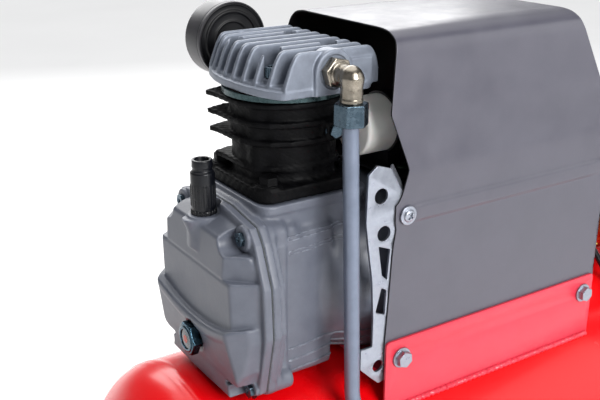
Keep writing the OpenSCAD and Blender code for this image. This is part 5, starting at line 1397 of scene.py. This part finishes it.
def tyre_and_rim():
    """The block-pattern tyre, its pressed two-piece wheel and the flanged bushes"""
    h, r = TYRE_HALF, WHEEL_R
    outer = eased(mirrored([(-29.8, RIM_R + 0.2), (-30.8, RIM_R + 8), (-34.5, RIM_R + 9),
            (-h + 4, RIM_R + 14),
            (-h + 0.6, RIM_R + 26), (-h, RIM_R + 36), (-h + 2.5, r - 22), (-h + 6, r - 15),
            (-h + 13, r - 8.5), (-18, r - 5.6), (-6, r - 4.2), (-4.4, r - 6.6), (-3, r - 6.6),
            (-1.6, r - 4.1)]), 3, 3)
    inner = mirrored([(22, RIM_R + 1), (h - 13, RIM_R + 14), (h - 9, RIM_R + 36), (h - 17, r - 18),
            (0, r - 13)])
    parts = [turned("carcass", "y", AT_AXLE, outer + inner, tyre_rubber, 144, 40)]
    # shoulder and crown blocks: x points outwards, z along the axle
    for centre, wide, long, tilt, start in ((-22, 17, 9.5, 0.35, 0.0), (22, 17, 9.5, -0.35, 0.11),
            (-10.5, 8, 11, -0.2, 0.05), (10.5, 8, 11, 0.2, 0.16)):
        pts = []
        for level, grow in ((-4.5, 1.2), (0.0, 0.0), (0.5, -0.6)):
            for a, b in ((-1, -1), (1, -1), (1, 1), (-1, 1)):
                zz = centre + a * (wide / 2 + grow)
                drop = 0.010 * max(abs(zz) - 6, 0) ** 2 * 0.75
                pts.append((r - 1.2 - drop + level, b * (long / 2 + grow) + a * tilt * wide / 2, zz))
        quads = [(3, 2, 1, 0), (8, 9, 10, 11)]
        for lev in (0, 4):
            quads += [(lev + k, lev + (k + 1) % 4, lev + 4 + (k + 1) % 4, lev + 4 + k) for k in range(4)]
        block = weld(solid("block", pts, quads, tyre_rubber))
        parts.append(set_out("tread", "circle", master(block), axis="y", centre=AT_AXLE, Count=40,
                Radius=0.01, Start=start))
    # moulded bars round both side walls
    for side in (-1, 1):
        bar = turned("bar", "x", (0, 0, 0), [(RIM_R + 40, 0.0), (RIM_R + 41, 1.2), (RIM_R + 49, 1.0),
                (RIM_R + 50, 0.0)], tyre_rubber, 8)
        bar.data.transform(Matrix.Translation((0, 0, side * (h - 1.0) / 1000)))
        parts.append(set_out("bars", "circle", master(bar), axis="y", centre=AT_AXLE, Count=60, Radius=0.01))
    finish_piece(join("block_pattern_tyre", parts), "tyre", "tyre", body="wheel")
    hub = fork_gap() - 0.5
    bush = 13.0
    disc = eased([(-hub + 3, bush), (-hub + 3, bush + 5), (-14, bush + 5.5), (-9, bush + 9), (-8, bush + 14),
            (-9.5, 34), (-13, 42), (-11, 49), (-20, RIM_R - 8), (-28, RIM_R - 3.5), (-31.5, RIM_R + 3),
            (-34, RIM_R + 6.6),
            (-33.2, RIM_R + 7.9), (-31.2, RIM_R + 7.6), (-30.2, RIM_R - 0.2), (-12, RIM_R - 1.2),
            (0, RIM_R - 1.6),
            (12, RIM_R - 1.2), (30.2, RIM_R - 0.2), (31.2, RIM_R + 7.6), (33.2, RIM_R + 7.9),
            (34, RIM_R + 6.6),
            (31.5, RIM_R + 3), (28, RIM_R - 3.5), (20, RIM_R - 8), (9, 50), (-7, 43), (-5.5, 34),
            (-4, bush + 14), (-5, bush + 9), (8, bush + 5.5), (hub - 3, bush + 5), (hub - 3, bush)], 1.6, 3)
    parts = [turned("disc", "y", AT_AXLE, disc, rim_silver, 96, 40)]
    spots = [((AXLE_X + 27 * math.sin(t), -9.2, AXLE_Z + 27 * math.cos(t)), (0, -1, 0)) for t in
            [2 * math.pi * k / 4 for k in range(4)]]
    spots += [((x, -3.6, z), (0, 1, 0)) for (x, _, z), _ in spots]
    studs = set_out("studs", "fasteners", hex_head(10, 4.5, 6.5, 1.0, bright_zinc), spots=spots, Seed=5)
    for side in (-1, 1):
        prof = eased([(side * (hub - 25), 8.1), (side * (hub - 25), 12.9), (side * (hub - 3), 12.9),
                (side * (hub - 3), 17), (side * hub, 17), (side * hub, 8.1)], 0.6)
        parts.append(turned("bush", "y", AT_AXLE, prof, black_plastic, 48))
    valve = tube("valve", [(AXLE_X + 4, -14, AXLE_Z + RIM_R - 8), (AXLE_X + 4, -24, AXLE_Z + RIM_R - 14),
            (AXLE_X + 4, -34, AXLE_Z + RIM_R - 19)], [3.6, 3.2, 3.0], black_plastic, 20)
    finish_piece(join("pressed_wheel", parts + [studs, valve]), "rim_paint", "rim", body="wheel")
    lo, hi = low_high("wheel_axle")
    shaft = turned("bar", "y", AT_AXLE, [(lo[1], 0.0), (lo[1], 7), (lo[1] + 1, 8), (hi[1] - 1, 8), (hi[1], 7),
            (hi[1], 0.0)], bright_zinc, 40)
    spots = [((AXLE_X, lo[1] + 10 - 2.0, AXLE_Z), (0, -1, 0)),
            ((AXLE_X, fork_gap() + 5.2, AXLE_Z), (0, 1, 0))]
    nuts = set_out("axle_nuts", "fasteners", hex_head(24, 9.5, 14.5, 2.0, bright_zinc, 0, 0.6),
            spots=spots, Seed=6)
    finish_piece(join("wheel_axle_and_nuts", [shaft, nuts]), "bright_zinc", "wheel_axle")


def fork_gap():
    """Inner faces of the axle plates, from the wheel's middle"""
    return TYRE_HALF + 9.5


def barrow():
    """Bent tube frame, axle plates, tank brackets, legs, feet and ribbed grips"""
    lo, hi = low_high("frame_tubes")
    parts = []
    corners = [(lo[0], -71, RUN_Z), (lo[0] + 36, -71, RUN_Z), (lo[0] + 134, -RUN_Y, RUN_Z),
            (600, -RUN_Y, RUN_Z), (700, -HANDLE_Y, HANDLE_Z), (hi[0], -HANDLE_Y, HANDLE_Z)]
    for side in (1, -1):
        path = rounded_path([(a, b * side, c) for a, b, c in corners], 70, 14)
        parts.append(tube("rail", finely(path, 15), 14, barrow_black, 44, bore=12))
    finish_piece(join("bent_frame_tubes", parts), "barrow_paint", "frame_tubes")
    parts, gap = [], fork_gap()
    for side in (-1, 1):
        arc = [(AXLE_X + 22 * math.cos(t), AXLE_Z + 22 * math.sin(t)) for t in np.linspace(math.radians(135),
                math.radians(270), 16)]
        outline = arc + [(AXLE_X + 12, AXLE_Z - 20), (AXLE_X + 78, RUN_Z - 10), (AXLE_X + 78, RUN_Z + 10),
                (AXLE_X + 12, RUN_Z + 10)]
        outline = arc + eased(outline[len(arc) - 1:] + [arc[0]], 4, 3)[1:-1]
        parts.append(plate("axle_plate", "xz", outline, [circle(AXLE_X, AXLE_Z, 8.2)],
                -gap - 5 if side < 0 else gap, 5, barrow_black, 0.7))
        run = [(x, side * 58.5, RUN_Z + 12.6 + 0.3 * math.sin(x)) for x in np.arange(lo[0] + 2, AXLE_X + 76,
                1.6)]
        parts.append(tube("weld", run, [2.4 + 0.35 * math.sin(i * 1.6) for i in range(len(run))],
                barrow_black, 8))
    keep = frame_bracket_blocks()
    finish_piece(join("axle_plates_and_tank_brackets", parts + keep), "barrow_paint", "frame_brackets")
    parts = []
    top = RUN_Z - 10.5
    for side in (-1, 1):
        leg = [(LEG_X, side * RUN_Y, z) for z in np.linspace(GROUND + 5.2, top, 12)]
        parts.append(tube("leg", leg, 12.5, barrow_black, 40))
        ring = [(LEG_X + 13 * math.cos(t), side * (RUN_Y + 13 * math.sin(t)),
                top + 1.5 + 2.6 * math.cos(t) ** 2)
                for t in np.linspace(0, 2 * math.pi, 48)]
        parts.append(tube("weld", ring, 2.2, barrow_black, 8))
    parts.append(tube("cross", [(LEG_X, y, GROUND + 42) for y in np.linspace(-RUN_Y + 8, RUN_Y - 8, 10)], 10,
            barrow_black, 36))
    for side in (-1, 1):
        ring = [(LEG_X + 10.5 * math.cos(t), side * (RUN_Y - 12.2), GROUND + 42 + 10.5 * math.sin(t))
                for t in np.linspace(0, 2 * math.pi, 40)]
        parts.append(tube("weld", ring, 2.0, barrow_black, 8))
    finish_piece(join("welded_legs", parts), "barrow_paint", "rear_legs")
    parts = []
    for side in (-1, 1):
        prof = eased([(GROUND, 0.0), (GROUND, 17.2), (GROUND + 1.4, 18), (GROUND + 6, 18), (GROUND + 7, 17),
                (GROUND + 8, 17.6),
                (GROUND + 17, 15.8), (GROUND + 20, 14.6), (GROUND + 20, 12.7), (GROUND + 6, 12.7),
                (GROUND + 6, 0.0)], 0.8)
        parts.append(turned("foot", "z", (LEG_X, side * RUN_Y, 0), prof, rubber, 56))
    finish_piece(join("rubber_leg_feet", parts), "rubber", "rubber_feet")
    g0, g1 = HANDLE[0][0], HANDLE[1][0]
    parts = []
    for side in (-1, 1):
        prof = [(g0, 14.1), (g0, 16.6), (g0 + 1, 17.4), (g0 + 5, 17.4), (g0 + 6, 16.2), (g0 + 9, 15.8)]
        for k in range(14):
            a = g0 + 10 + k * 6.8
            prof += [(a, 15.9), (a + 1.2, 17.0), (a + 3.4, 17.3), (a + 5.6, 17.0), (a + 6.4, 15.9)]
        prof += [(g1 - 13, 16), (g1 - 11.5, 17.4), (g1 - 3, 17.5), (g1 - 0.6, 15.6), (g1, 12), (g1, 0.0),
                (g1 - 5, 0.0), (g1 - 5, 14.1)]
        parts.append(turned("grip", "x", (0, side * HANDLE_Y, HANDLE_Z), prof, rubber, 64))
    finish_piece(join("ribbed_grips", parts), "rubber", "handle_grips")


def frame_bracket_blocks():
    """The four weld-on brackets between frame and tank, hollowed to both round tubes"""
    made = []
    for side in (-1, 1):
        for x in (33, LEG_X - 20):
            low = (x - 1, min(side * RUN_Y, side * (RUN_Y - 40)) - 1, RUN_Z - 8.5)
            m = Mould(low, (x + 51, low[1] + 42, RUN_Z + 8.5), fine(1.1))
            shape = m.box((x, low[1] + 1, RUN_Z - 7), (x + 50, low[1] + 41, RUN_Z + 7), 1.0)
            shape = carve(shape, m.rod("x", 0, TANK_Z, 150.2, x - 5, x + 55))
            shape = carve(shape, m.rod("x", side * RUN_Y, RUN_Z, 14.1, x - 5, x + 55))
            made.append(skin("block", m, shape, barrow_black))
    return made


# ---------- motor ----------


def motor():
    """The fan's blades, seen through the hood's slots"""
    lo, hi = low_high("fan")
    disc = turned("disc", "x", (0, 0, 0), eased([(lo[0], 10.0), (lo[0], 56.5), (lo[0] + 2, 57),
            (lo[0] + 2, 17.4), (hi[0], 16.4), (hi[0], 10.0)], 0.8), black_plastic, 64)
    pts = [(14, -1.4, 2), (56.5, -1.1, 2), (56.5, 1.1, 2), (14, 1.4, 2), (14, -0.9, 13), (50, -0.7, 12),
            (50, 0.7, 12), (14, 0.9, 13)]
    blade = weld(solid("blade", pts, BOX_FACES, black_plastic))
    blades = set_out("blades", "circle", master(blade), axis="x", centre=(lo[0], 0, 0), Count=8, Radius=0.01)
    finish_piece(join("cooling_fan", [disc, blades]), "black_plastic", "fan", body="crank")


# ---------- controls ----------

REG_Y = middle("regulator_knob", 1)
GAUGE_X = low_high("gauge_cases")[1][0] - 26
GAUGES = (18.0, REG_Y)


def knob(name, centre, base, height, radius, finish, lobes, skirt=0.0):
    """A moulded hand knob with grip ribs"""
    prof = eased([(base, 0.0), (base, radius - 1.5), (base + 1.2, radius - 0.6 + skirt),
            (base + 3, radius - 1.2), (base + height - 3, radius - 1.8), (base + height - 0.8, radius - 3.4),
            (base + height - 1.6, radius - 6), (base + height - 1.8, 0.0)], 0.9)
    body = turned("body", "z", (centre[0], centre[1], 0), prof, finish, 72)
    rib = master(turned("rib", "z", (0, 0, 0), [(0, 0.0), (0, 1.7), (height - 4, 1.4), (height - 3, 0.0)],
            finish, 10))
    ribs = set_out("ribs", "circle", rib, centre=(centre[0], centre[1], base + 1.6), Count=lobes,
            Radius=radius - 1.7)
    return join(name, [body, ribs])


def switch_and_knobs():
    """The pressure switch with its gland, its pull knob and the regulator's hand knob"""
    lo, hi = low_high("pressure_switch")
    z0, top = lo[2], hi[2]
    m = Mould((CTRL_X - 36, -31, z0 - 1.5), (CTRL_X + 36, 31, top + 1.5), fine(1.0))
    plan = edge_distance(m.x - CTRL_X, m.y, eased_loop([(-33, -28), (33, -28), (33, 28), (-33, 28)], 8, 6))
    draft = plan + 0.035 * (m.z - z0)
    shell = both(draft, np.abs(m.z - (z0 + 8.4 + top) / 2) - (top - z0 - 8.4) / 2, 3.2)
    base = both(plan, np.abs(m.z - (z0 + 3.9)) - 3.9, 1.2)
    panel = both(plan + 5.5, np.abs(m.z - top) - 0.9, 0.8)
    shape = carve(shell, panel, 0.8)
    for k in range(-2, 3):
        for side in (-1, 1):
            line = both(both(np.abs(m.x - CTRL_X - k * 9) - 1.6, np.abs(m.z - (z0 + 34)) - 15, 1),
                    24.5 - side * m.y)
            shape = carve(shape, both(line, side * m.y - 40), 0.6)
    shape = np.minimum(shape, base)
    shape = carve(shape, m.rod("z", CTRL_X, 0, 6.3, z0 + 30, top + 5))
    body = skin("switch_body", m, shape, black_plastic)
    gz = z0 + 24
    gland = turned("gland", "y", (CTRL_X, 0, gz), eased([(26, 4.1), (26, 6.9), (33, 6.9), (33, 8.6),
            (44, 8.6), (45, 7.6), (45, 4.1)], 0.6), black_plastic, 48)
    nut = set_out("gland_nut", "fasteners", hex_head(20, 5, 0, 0, black_plastic, 0, 0.6),
            spots=[((CTRL_X, 28.2, gz), SY)], Seed=1)
    finish_piece(join("pressure_switch_box", [body, gland, nut]), "black_plastic", "pressure_switch")
    k_lo, k_hi = low_high("switch_knob")
    stem = turned("stem", "z", (CTRL_X, 0, 0), [(k_lo[2], 0.0), (k_lo[2], 6), (k_hi[2] - 12, 6),
            (k_hi[2] - 12, 0.0)], red_plastic, 40)
    cap = knob("cap", (CTRL_X, 0), k_hi[2] - 14, 14, 13, red_plastic, 18)
    finish_piece(join("pull_knob", [stem, cap]), "red_plastic", "switch_knob", body="knob")
    r_lo, r_hi = low_high("regulator_knob")
    dial = knob("regulator_hand_knob", (CTRL_X, REG_Y), r_lo[2], r_hi[2] - r_lo[2], 20, black_plastic, 30,
            0.3)
    finish_piece(dial, "black_plastic", "regulator_knob", body="regulator_dial")


def brassware():
    """The manifold, regulator body, coupler, sleeve, safety valve, drain and check valve"""
    lo, hi = low_high("manifold")
    m = Mould(lo - 1.5, hi + 1.5, fine(0.9))
    block = m.box((CTRL_X - 15, -40, CTRL_Z - 15), (CTRL_X + 15, 40, CTRL_Z + 15), 1.6)
    hexa = both(hexagon(m.x - CTRL_X, m.y, 26), np.abs(m.z - (CTRL_Z - 19)) - 5.8, 0.8)
    stem = both(np.hypot(m.x - CTRL_X, m.y) - 9.9, np.abs(m.z - (lo[2] + 12)) - 12, 0.4)
    neck = both(np.hypot(m.x - CTRL_X, m.y) - 8, np.abs(m.z - (hi[2] - 10)) - 10, 0.3)
    shape = np.minimum(np.minimum(block, hexa), np.minimum(stem, neck))
    shape = blend(shape, both(np.hypot(m.y - GAUGES[0], m.z - CTRL_Z) - 9, np.abs(m.x - CTRL_X - 14.6) - 1.2,
            0.5), 0.5)
    finish_piece(skin("brass_manifold", m, shape, brass), "brass", "manifold")
    parts = []
    prof = eased([(CTRL_Z - 24, 0.0), (CTRL_Z - 24, 12), (CTRL_Z - 21, 17), (CTRL_Z - 15, 19),
            (CTRL_Z + 18, 19),
            (CTRL_Z + 20, 17.6), (CTRL_Z + 23, 17.6), (CTRL_Z + 24, 16.8), (CTRL_Z + 24, 8), (CTRL_Z + 36, 8),
            (CTRL_Z + 36, 0.0)], 1.0)
    parts.append(turned("bowl", "z", (CTRL_X, REG_Y, 0), prof, cast_zinc, 72))
    for y0, y1, r in ((REG_Y + 17, -40, 9), (REG_Y - 20, REG_Y - 15, 9)):
        parts.append(turned("port", "y", (CTRL_X, 0, CTRL_Z),
                eased([(y0, 0.0), (y0, r), (y1, r), (y1, 0.0)], 0.8), cast_zinc, 40))
    parts.append(turned("gauge_port", "x", (0, REG_Y, CTRL_Z),
            eased([(CTRL_X + 16, 0.0), (CTRL_X + 16, 8), (CTRL_X + 28, 8),
            (CTRL_X + 28, 0.0)], 0.6), cast_zinc, 40))
    finish_piece(join("regulator_body", parts), "cast_aluminium", "regulator")
    q_lo, q_hi = low_high("quick_coupler")
    prof = eased([(q_hi[1] - 8, 5.3), (q_hi[1] - 8, 9.5), (q_lo[1] + 6, 9.5), (q_lo[1] + 5.4, 9.0),
            (q_lo[1] + 1, 9.0), (q_lo[1], 8.2), (q_lo[1], 5.3)], 0.5)
    barrel = turned("barrel", "y", (CTRL_X, 0, CTRL_Z), prof, bright_zinc, 56)
    nut = set_out("coupler_hexagon", "fasteners", hex_head(21, 8, 0, 0, bright_zinc, 0, 0.6),
            spots=[((CTRL_X, q_hi[1], CTRL_Z), (0, -1, 0))], Seed=2)
    finish_piece(join("coupler_body", [barrel, nut]), "bright_zinc", "quick_coupler")
    s_lo, s_hi = low_high("coupler_sleeve")
    a, b = s_lo[1], s_hi[1]
    prof = eased([(a, 9.62), (a, 11.6), (a + 1, 12.4), (a + 5, 12.5), (a + 6, 11.4), (a + 8, 11.4),
            (a + 9, 12.4), (b - 9, 12.4),
            (b - 8, 11.4), (b - 6, 11.4), (b - 5, 12.5), (b - 1, 12.3), (b, 11.4), (b, 9.62)], 0.5)
    ring = turned("sleeve", "y", (CTRL_X, 0, CTRL_Z), prof, bright_zinc, 72)
    rib = master(turned("knurl", "z", (0, 0, 0), [(0, 0.0), (0.2, 0.45), (5.8, 0.45), (6, 0.0)], bright_zinc,
            6))
    knurl = set_out("knurls", "circle", rib, axis="y", centre=(CTRL_X, a + 9, CTRL_Z), Count=60, Radius=12.2)
    finish_piece(join("knurled_sleeve", [ring, knurl]), "bright_zinc", "coupler_sleeve", body="sleeve")
    v_lo, v_hi = low_high("safety_valve")
    prof = eased([(v_lo[1] + 8, 3.0), (v_lo[1] + 8, 7.5), (v_hi[1] - 8, 7.5), (v_hi[1] - 7, 6.6),
            (v_hi[1] - 5.6, 6.6),
            (v_hi[1] - 4.6, 7.5), (v_hi[1] - 0.6, 7.2), (v_hi[1], 6.4), (v_hi[1], 3.0)], 0.4)
    body = turned("valve_body", "y", (CTRL_X, 0, CTRL_Z), prof, brass, 48)
    nut = set_out("valve_hexagon", "fasteners", hex_head(17, 9, 0, 0, brass, 0, 0.5),
            spots=[((CTRL_X, v_lo[1], CTRL_Z), SY)], Seed=3)
    finish_piece(join("safety_valve_body", [body, nut]), "brass", "safety_valve")
    vy = low_high("check_valve")[0][1] + 12
    prof = eased([(vy - 12, 0.0), (vy - 12, 10.6), (vy - 10.4, 12), (vy + 13, 12), (vy + 14, 11),
            (vy + 14, 0.0)], 0.8)
    parts = [turned("barrel", "y", (ELBOW_X, 0, TANK_Z), prof, brass, 56),
            turned("inlet", "z", (ELBOW_X, vy, 0), eased([(TANK_Z + 8, 4.8), (TANK_Z + 8, 9),
            (TANK_Z + 20, 9), (TANK_Z + 20, 4.8)], 0.5), brass, 40),
            turned("bleed", "x", (0, vy, TANK_Z), eased([(ELBOW_X + 9, 0.0), (ELBOW_X + 9, 5),
            (ELBOW_X + 15, 5), (ELBOW_X + 15.6, 4.2), (ELBOW_X + 20, 4.2), (ELBOW_X + 20, 0.0)], 0.4),
            brass, 32), set_out("valve_nut", "fasteners", hex_head(26, 10, 0, 0, brass, 0, 0.6),
            spots=[((ELBOW_X, -160.2, TANK_Z), (0, -1, 0))], Seed=4)]
    finish_piece(join("tank_check_valve", parts), "brass", "check_valve")
    dz, dx = low_high("drain_valve")[1][2] - 11, 300.0
    parts = [turned("stem", "z", (dx, 0, 0), eased([(dz - 26, 4.0), (dz - 26, 6.4), (dz - 22, 6.8),
            (dz - 21, 9), (dz - 11, 9), (dz - 10, 8), (dz + 11, 8), (dz + 11, 4.0)], 0.6), brass, 48),
            turned("spindle", "y", (dx, 0, dz - 18), [(-15, 0.0), (-15, 4), (-3, 4), (-3, 0.0)], brass, 32),
            set_out("drain_nut", "fasteners", hex_head(22, 9.6, 0, 0, brass, 0, 0.6),
            spots=[((dx, 0, dz - 9.9), SZ)], Seed=4)]
    finish_piece(join("drain_cock", parts), "brass", "drain_valve")
    lever = [(dx + 7 * math.cos(t), dz - 18 + 7 * math.sin(t)) for t in np.linspace(0.6, 2 * math.pi - 0.6,
            28)]
    lever += [(dx + 20, dz - 21.6), (dx + 23, dz - 20.8), (dx + 24, dz - 18), (dx + 23, dz - 15.2),
            (dx + 20, dz - 14.4)]
    handle = plate("drain_handle", "xz", lever, [circle(dx, dz - 18, 4.05)], -15, 3.3, red_plastic, 0.6)
    finish_piece(handle, "red_plastic", "drain_lever", body="drain")


def gauges():
    """Two pressure gauges: black case, bright bezel, white dial with its scale, domed clear lens"""
    cases, lenses = [], []
    for gy in GAUGES:
        x = GAUGE_X
        start = CTRL_X + (15 if gy > 0 else 28)
        prof = eased([(start, 0.0), (start, 6), (x - 5, 6), (x - 4, 7.5), (x, 8), (x + 1, 22), (x + 4, 24.6),
                (x + 18, 24.8),
                (x + 18.4, 25.0), (x + 25, 25.0), (x + 26, 24.2), (x + 26, 22.9), (x + 23.6, 22.7),
                (x + 16.4, 22.7), (x + 16.4, 0.0)], 0.8)
        cases.append(turned("case", "x", (0, gy, CTRL_Z), prof, black_plastic, 96))
        dial = turned("dial", "x", (0, gy, CTRL_Z), [(x + 16.3, 0.0), (x + 16.3, 22.8), (x + 17.0, 22.8),
                (x + 17.0, 0.0)], dial_white, 72, 30)
        cases.append(dial)
        hub = turned("hub", "x", (0, gy, CTRL_Z), [(x + 16.8, 0.0), (x + 16.8, 1.6), (x + 17.8, 1.4),
                (x + 17.8, 0.0)], brass, 24)
        cases.append(hub)
        for count, length, wide in ((11, 4.4, 0.5), (51, 2.4, 0.22)):
            pts, quads = [], []
            for k in range(count):
                t = math.radians(225 - 270 * k / (count - 1))
                c, s = math.cos(t), math.sin(t)
                for r, w, h in ((20.6 - length, -wide, 0), (20.6, -wide, 0), (20.6, wide, 0),
                        (20.6 - length, wide, 0),
                        (20.6 - length, -wide, 1), (20.6, -wide, 1), (20.6, wide, 1),
                        (20.6 - length, wide, 1)):
                    pts.append((x + 16.9 + 0.25 * h, gy + r * c - w * s, CTRL_Z + r * s + w * c))
                quads += [tuple(8 * k + i for i in face) for face in BOX_FACES]
            cases.append(weld(solid("scale", pts, quads, dial_ink)))
        lens = eased([(x + 22.2, 0.0), (x + 22.2, 22.6), (x + 23.6, 22.6), (x + 24.8, 12), (x + 25.2, 0.0)],
                0.5, 3)
        lenses.append(turned("lens", "x", (0, gy, CTRL_Z), lens, clear_lens, 72))
    finish_piece(join("gauges", cases), "black_plastic", "gauge_cases")
    finish_piece(join("gauge_lenses", lenses), "black_plastic")


tyre_and_rim()
barrow()
motor()
switch_and_knobs()
brassware()
gauges()

# ---------- finishes of the CAD parts that stay ----------


def gasket_finish():
    """Oiled grey-green paper at the joints, and the orange copper-faced kind under the head"""
    made = grained("oiled_gasket_paper", "#35393b", "#474b4c", 4, 0.6, 0.04, 0.7, IOR=1.45)
    tree = made.node_tree
    where = next(n for n in tree.nodes if n.type == "TEX_COORD").outputs["Object"]
    paper = next(n for n in tree.nodes if n.type == "BSDF_PRINCIPLED").inputs["Base Color"]
    level = add(tree, "ShaderNodeSeparateXYZ", None, {0: where})
    above = add(tree, "ShaderNodeMath", {"operation": "GREATER_THAN",
            1: float(place((0, 0, DECK - 4))[0][2])}, {0: level.outputs["Z"]})
    colour = add(tree, "ShaderNodeMix", {"data_type": "RGBA", 7: linear("#a33c1d")},
            {0: above.outputs[0], 6: paper.links[0].from_socket})
    tree.links.new(colour.outputs[2], paper)
    return made


KEPT = {"gaskets": gasket_finish(), "valve_plate": valve_steel, "piston": machined, "piston_rings": iron,
        "wrist_pin": steel, "connecting_rod": machined, "crank_pin": steel, "crank_web": iron, "shaft": steel,
        "main_bearings": steel, "unloader_tube": nylon, "stator": laminations, "rotor": laminations,
        "rear_shield": case_paint, "motor_bolts": blue_zinc, "capacitor_tray": black_plastic,
        "tank_needle": pointer_black, "line_needle": pointer_black, "safety_ring": bright_zinc}
for node_name, node_obj in NODES.items():
    if node_obj.hide_render:
        continue
    node_obj.data.materials.clear()
    node_obj.data.materials.append(KEPT.get(node_name, iron))

# ---------- stage and light ----------
floor_mesh = bpy.data.meshes.new("floor")
floor_mesh.from_pydata([(-20, -20, 0), (20, -20, 0), (20, 20, 0), (-20, 20, 0)], [], [(0, 1, 2, 3)])
floor = shown("floor", floor_mesh)
floor_mesh.materials.append(grained("pale_studio_floor", "#f1f1f1", "#f4f4f4", 900, 4, 0.01, 0.7))


def lamp(name, at, towards, size, power):
    """A soft box, placed in metres from the pump and turned towards a point on it"""
    light = shown(name, bpy.data.lights.new(name, "AREA"))
    light.data.shape = "RECTANGLE"
    light.data.size, light.data.size_y = size
    light.data.energy = power
    start = Vector(DATUM) + Vector(at)
    light.location = start
    light.rotation_euler = (Vector(DATUM) + Vector(towards) - start).to_track_quat("-Z", "Y").to_euler()


lamp("key_softbox", (0.25, -1.9, 0.95), (0.1, 0, 0), (1.1, 1.1), 56)
lamp("side_softbox", (1.8, -1.2, 0.7), (0.2, 0, 0), (1.2, 1.2), 9)
lamp("back_softbox", (0.8, 2.0, 1.2), (0.1, 0, 0), (2.4, 1.2), 48)
sky = shown("ceiling_wash", bpy.data.lights.new("ceiling_wash", "SUN"))
sky.data.energy = 2.3
sky.data.angle = math.radians(70)
sky.rotation_euler = Vector((-0.15, -0.3, -1)).to_track_quat("-Z", "Y").to_euler()
world = bpy.data.worlds.new("studio")
world.use_nodes = True
world.node_tree.nodes["Background"].inputs["Color"].default_value = linear("#f2f4f7")
world.node_tree.nodes["Background"].inputs["Strength"].default_value = 0.24
bpy.context.scene.view_settings.view_transform = "Standard"
bpy.context.scene.world = world
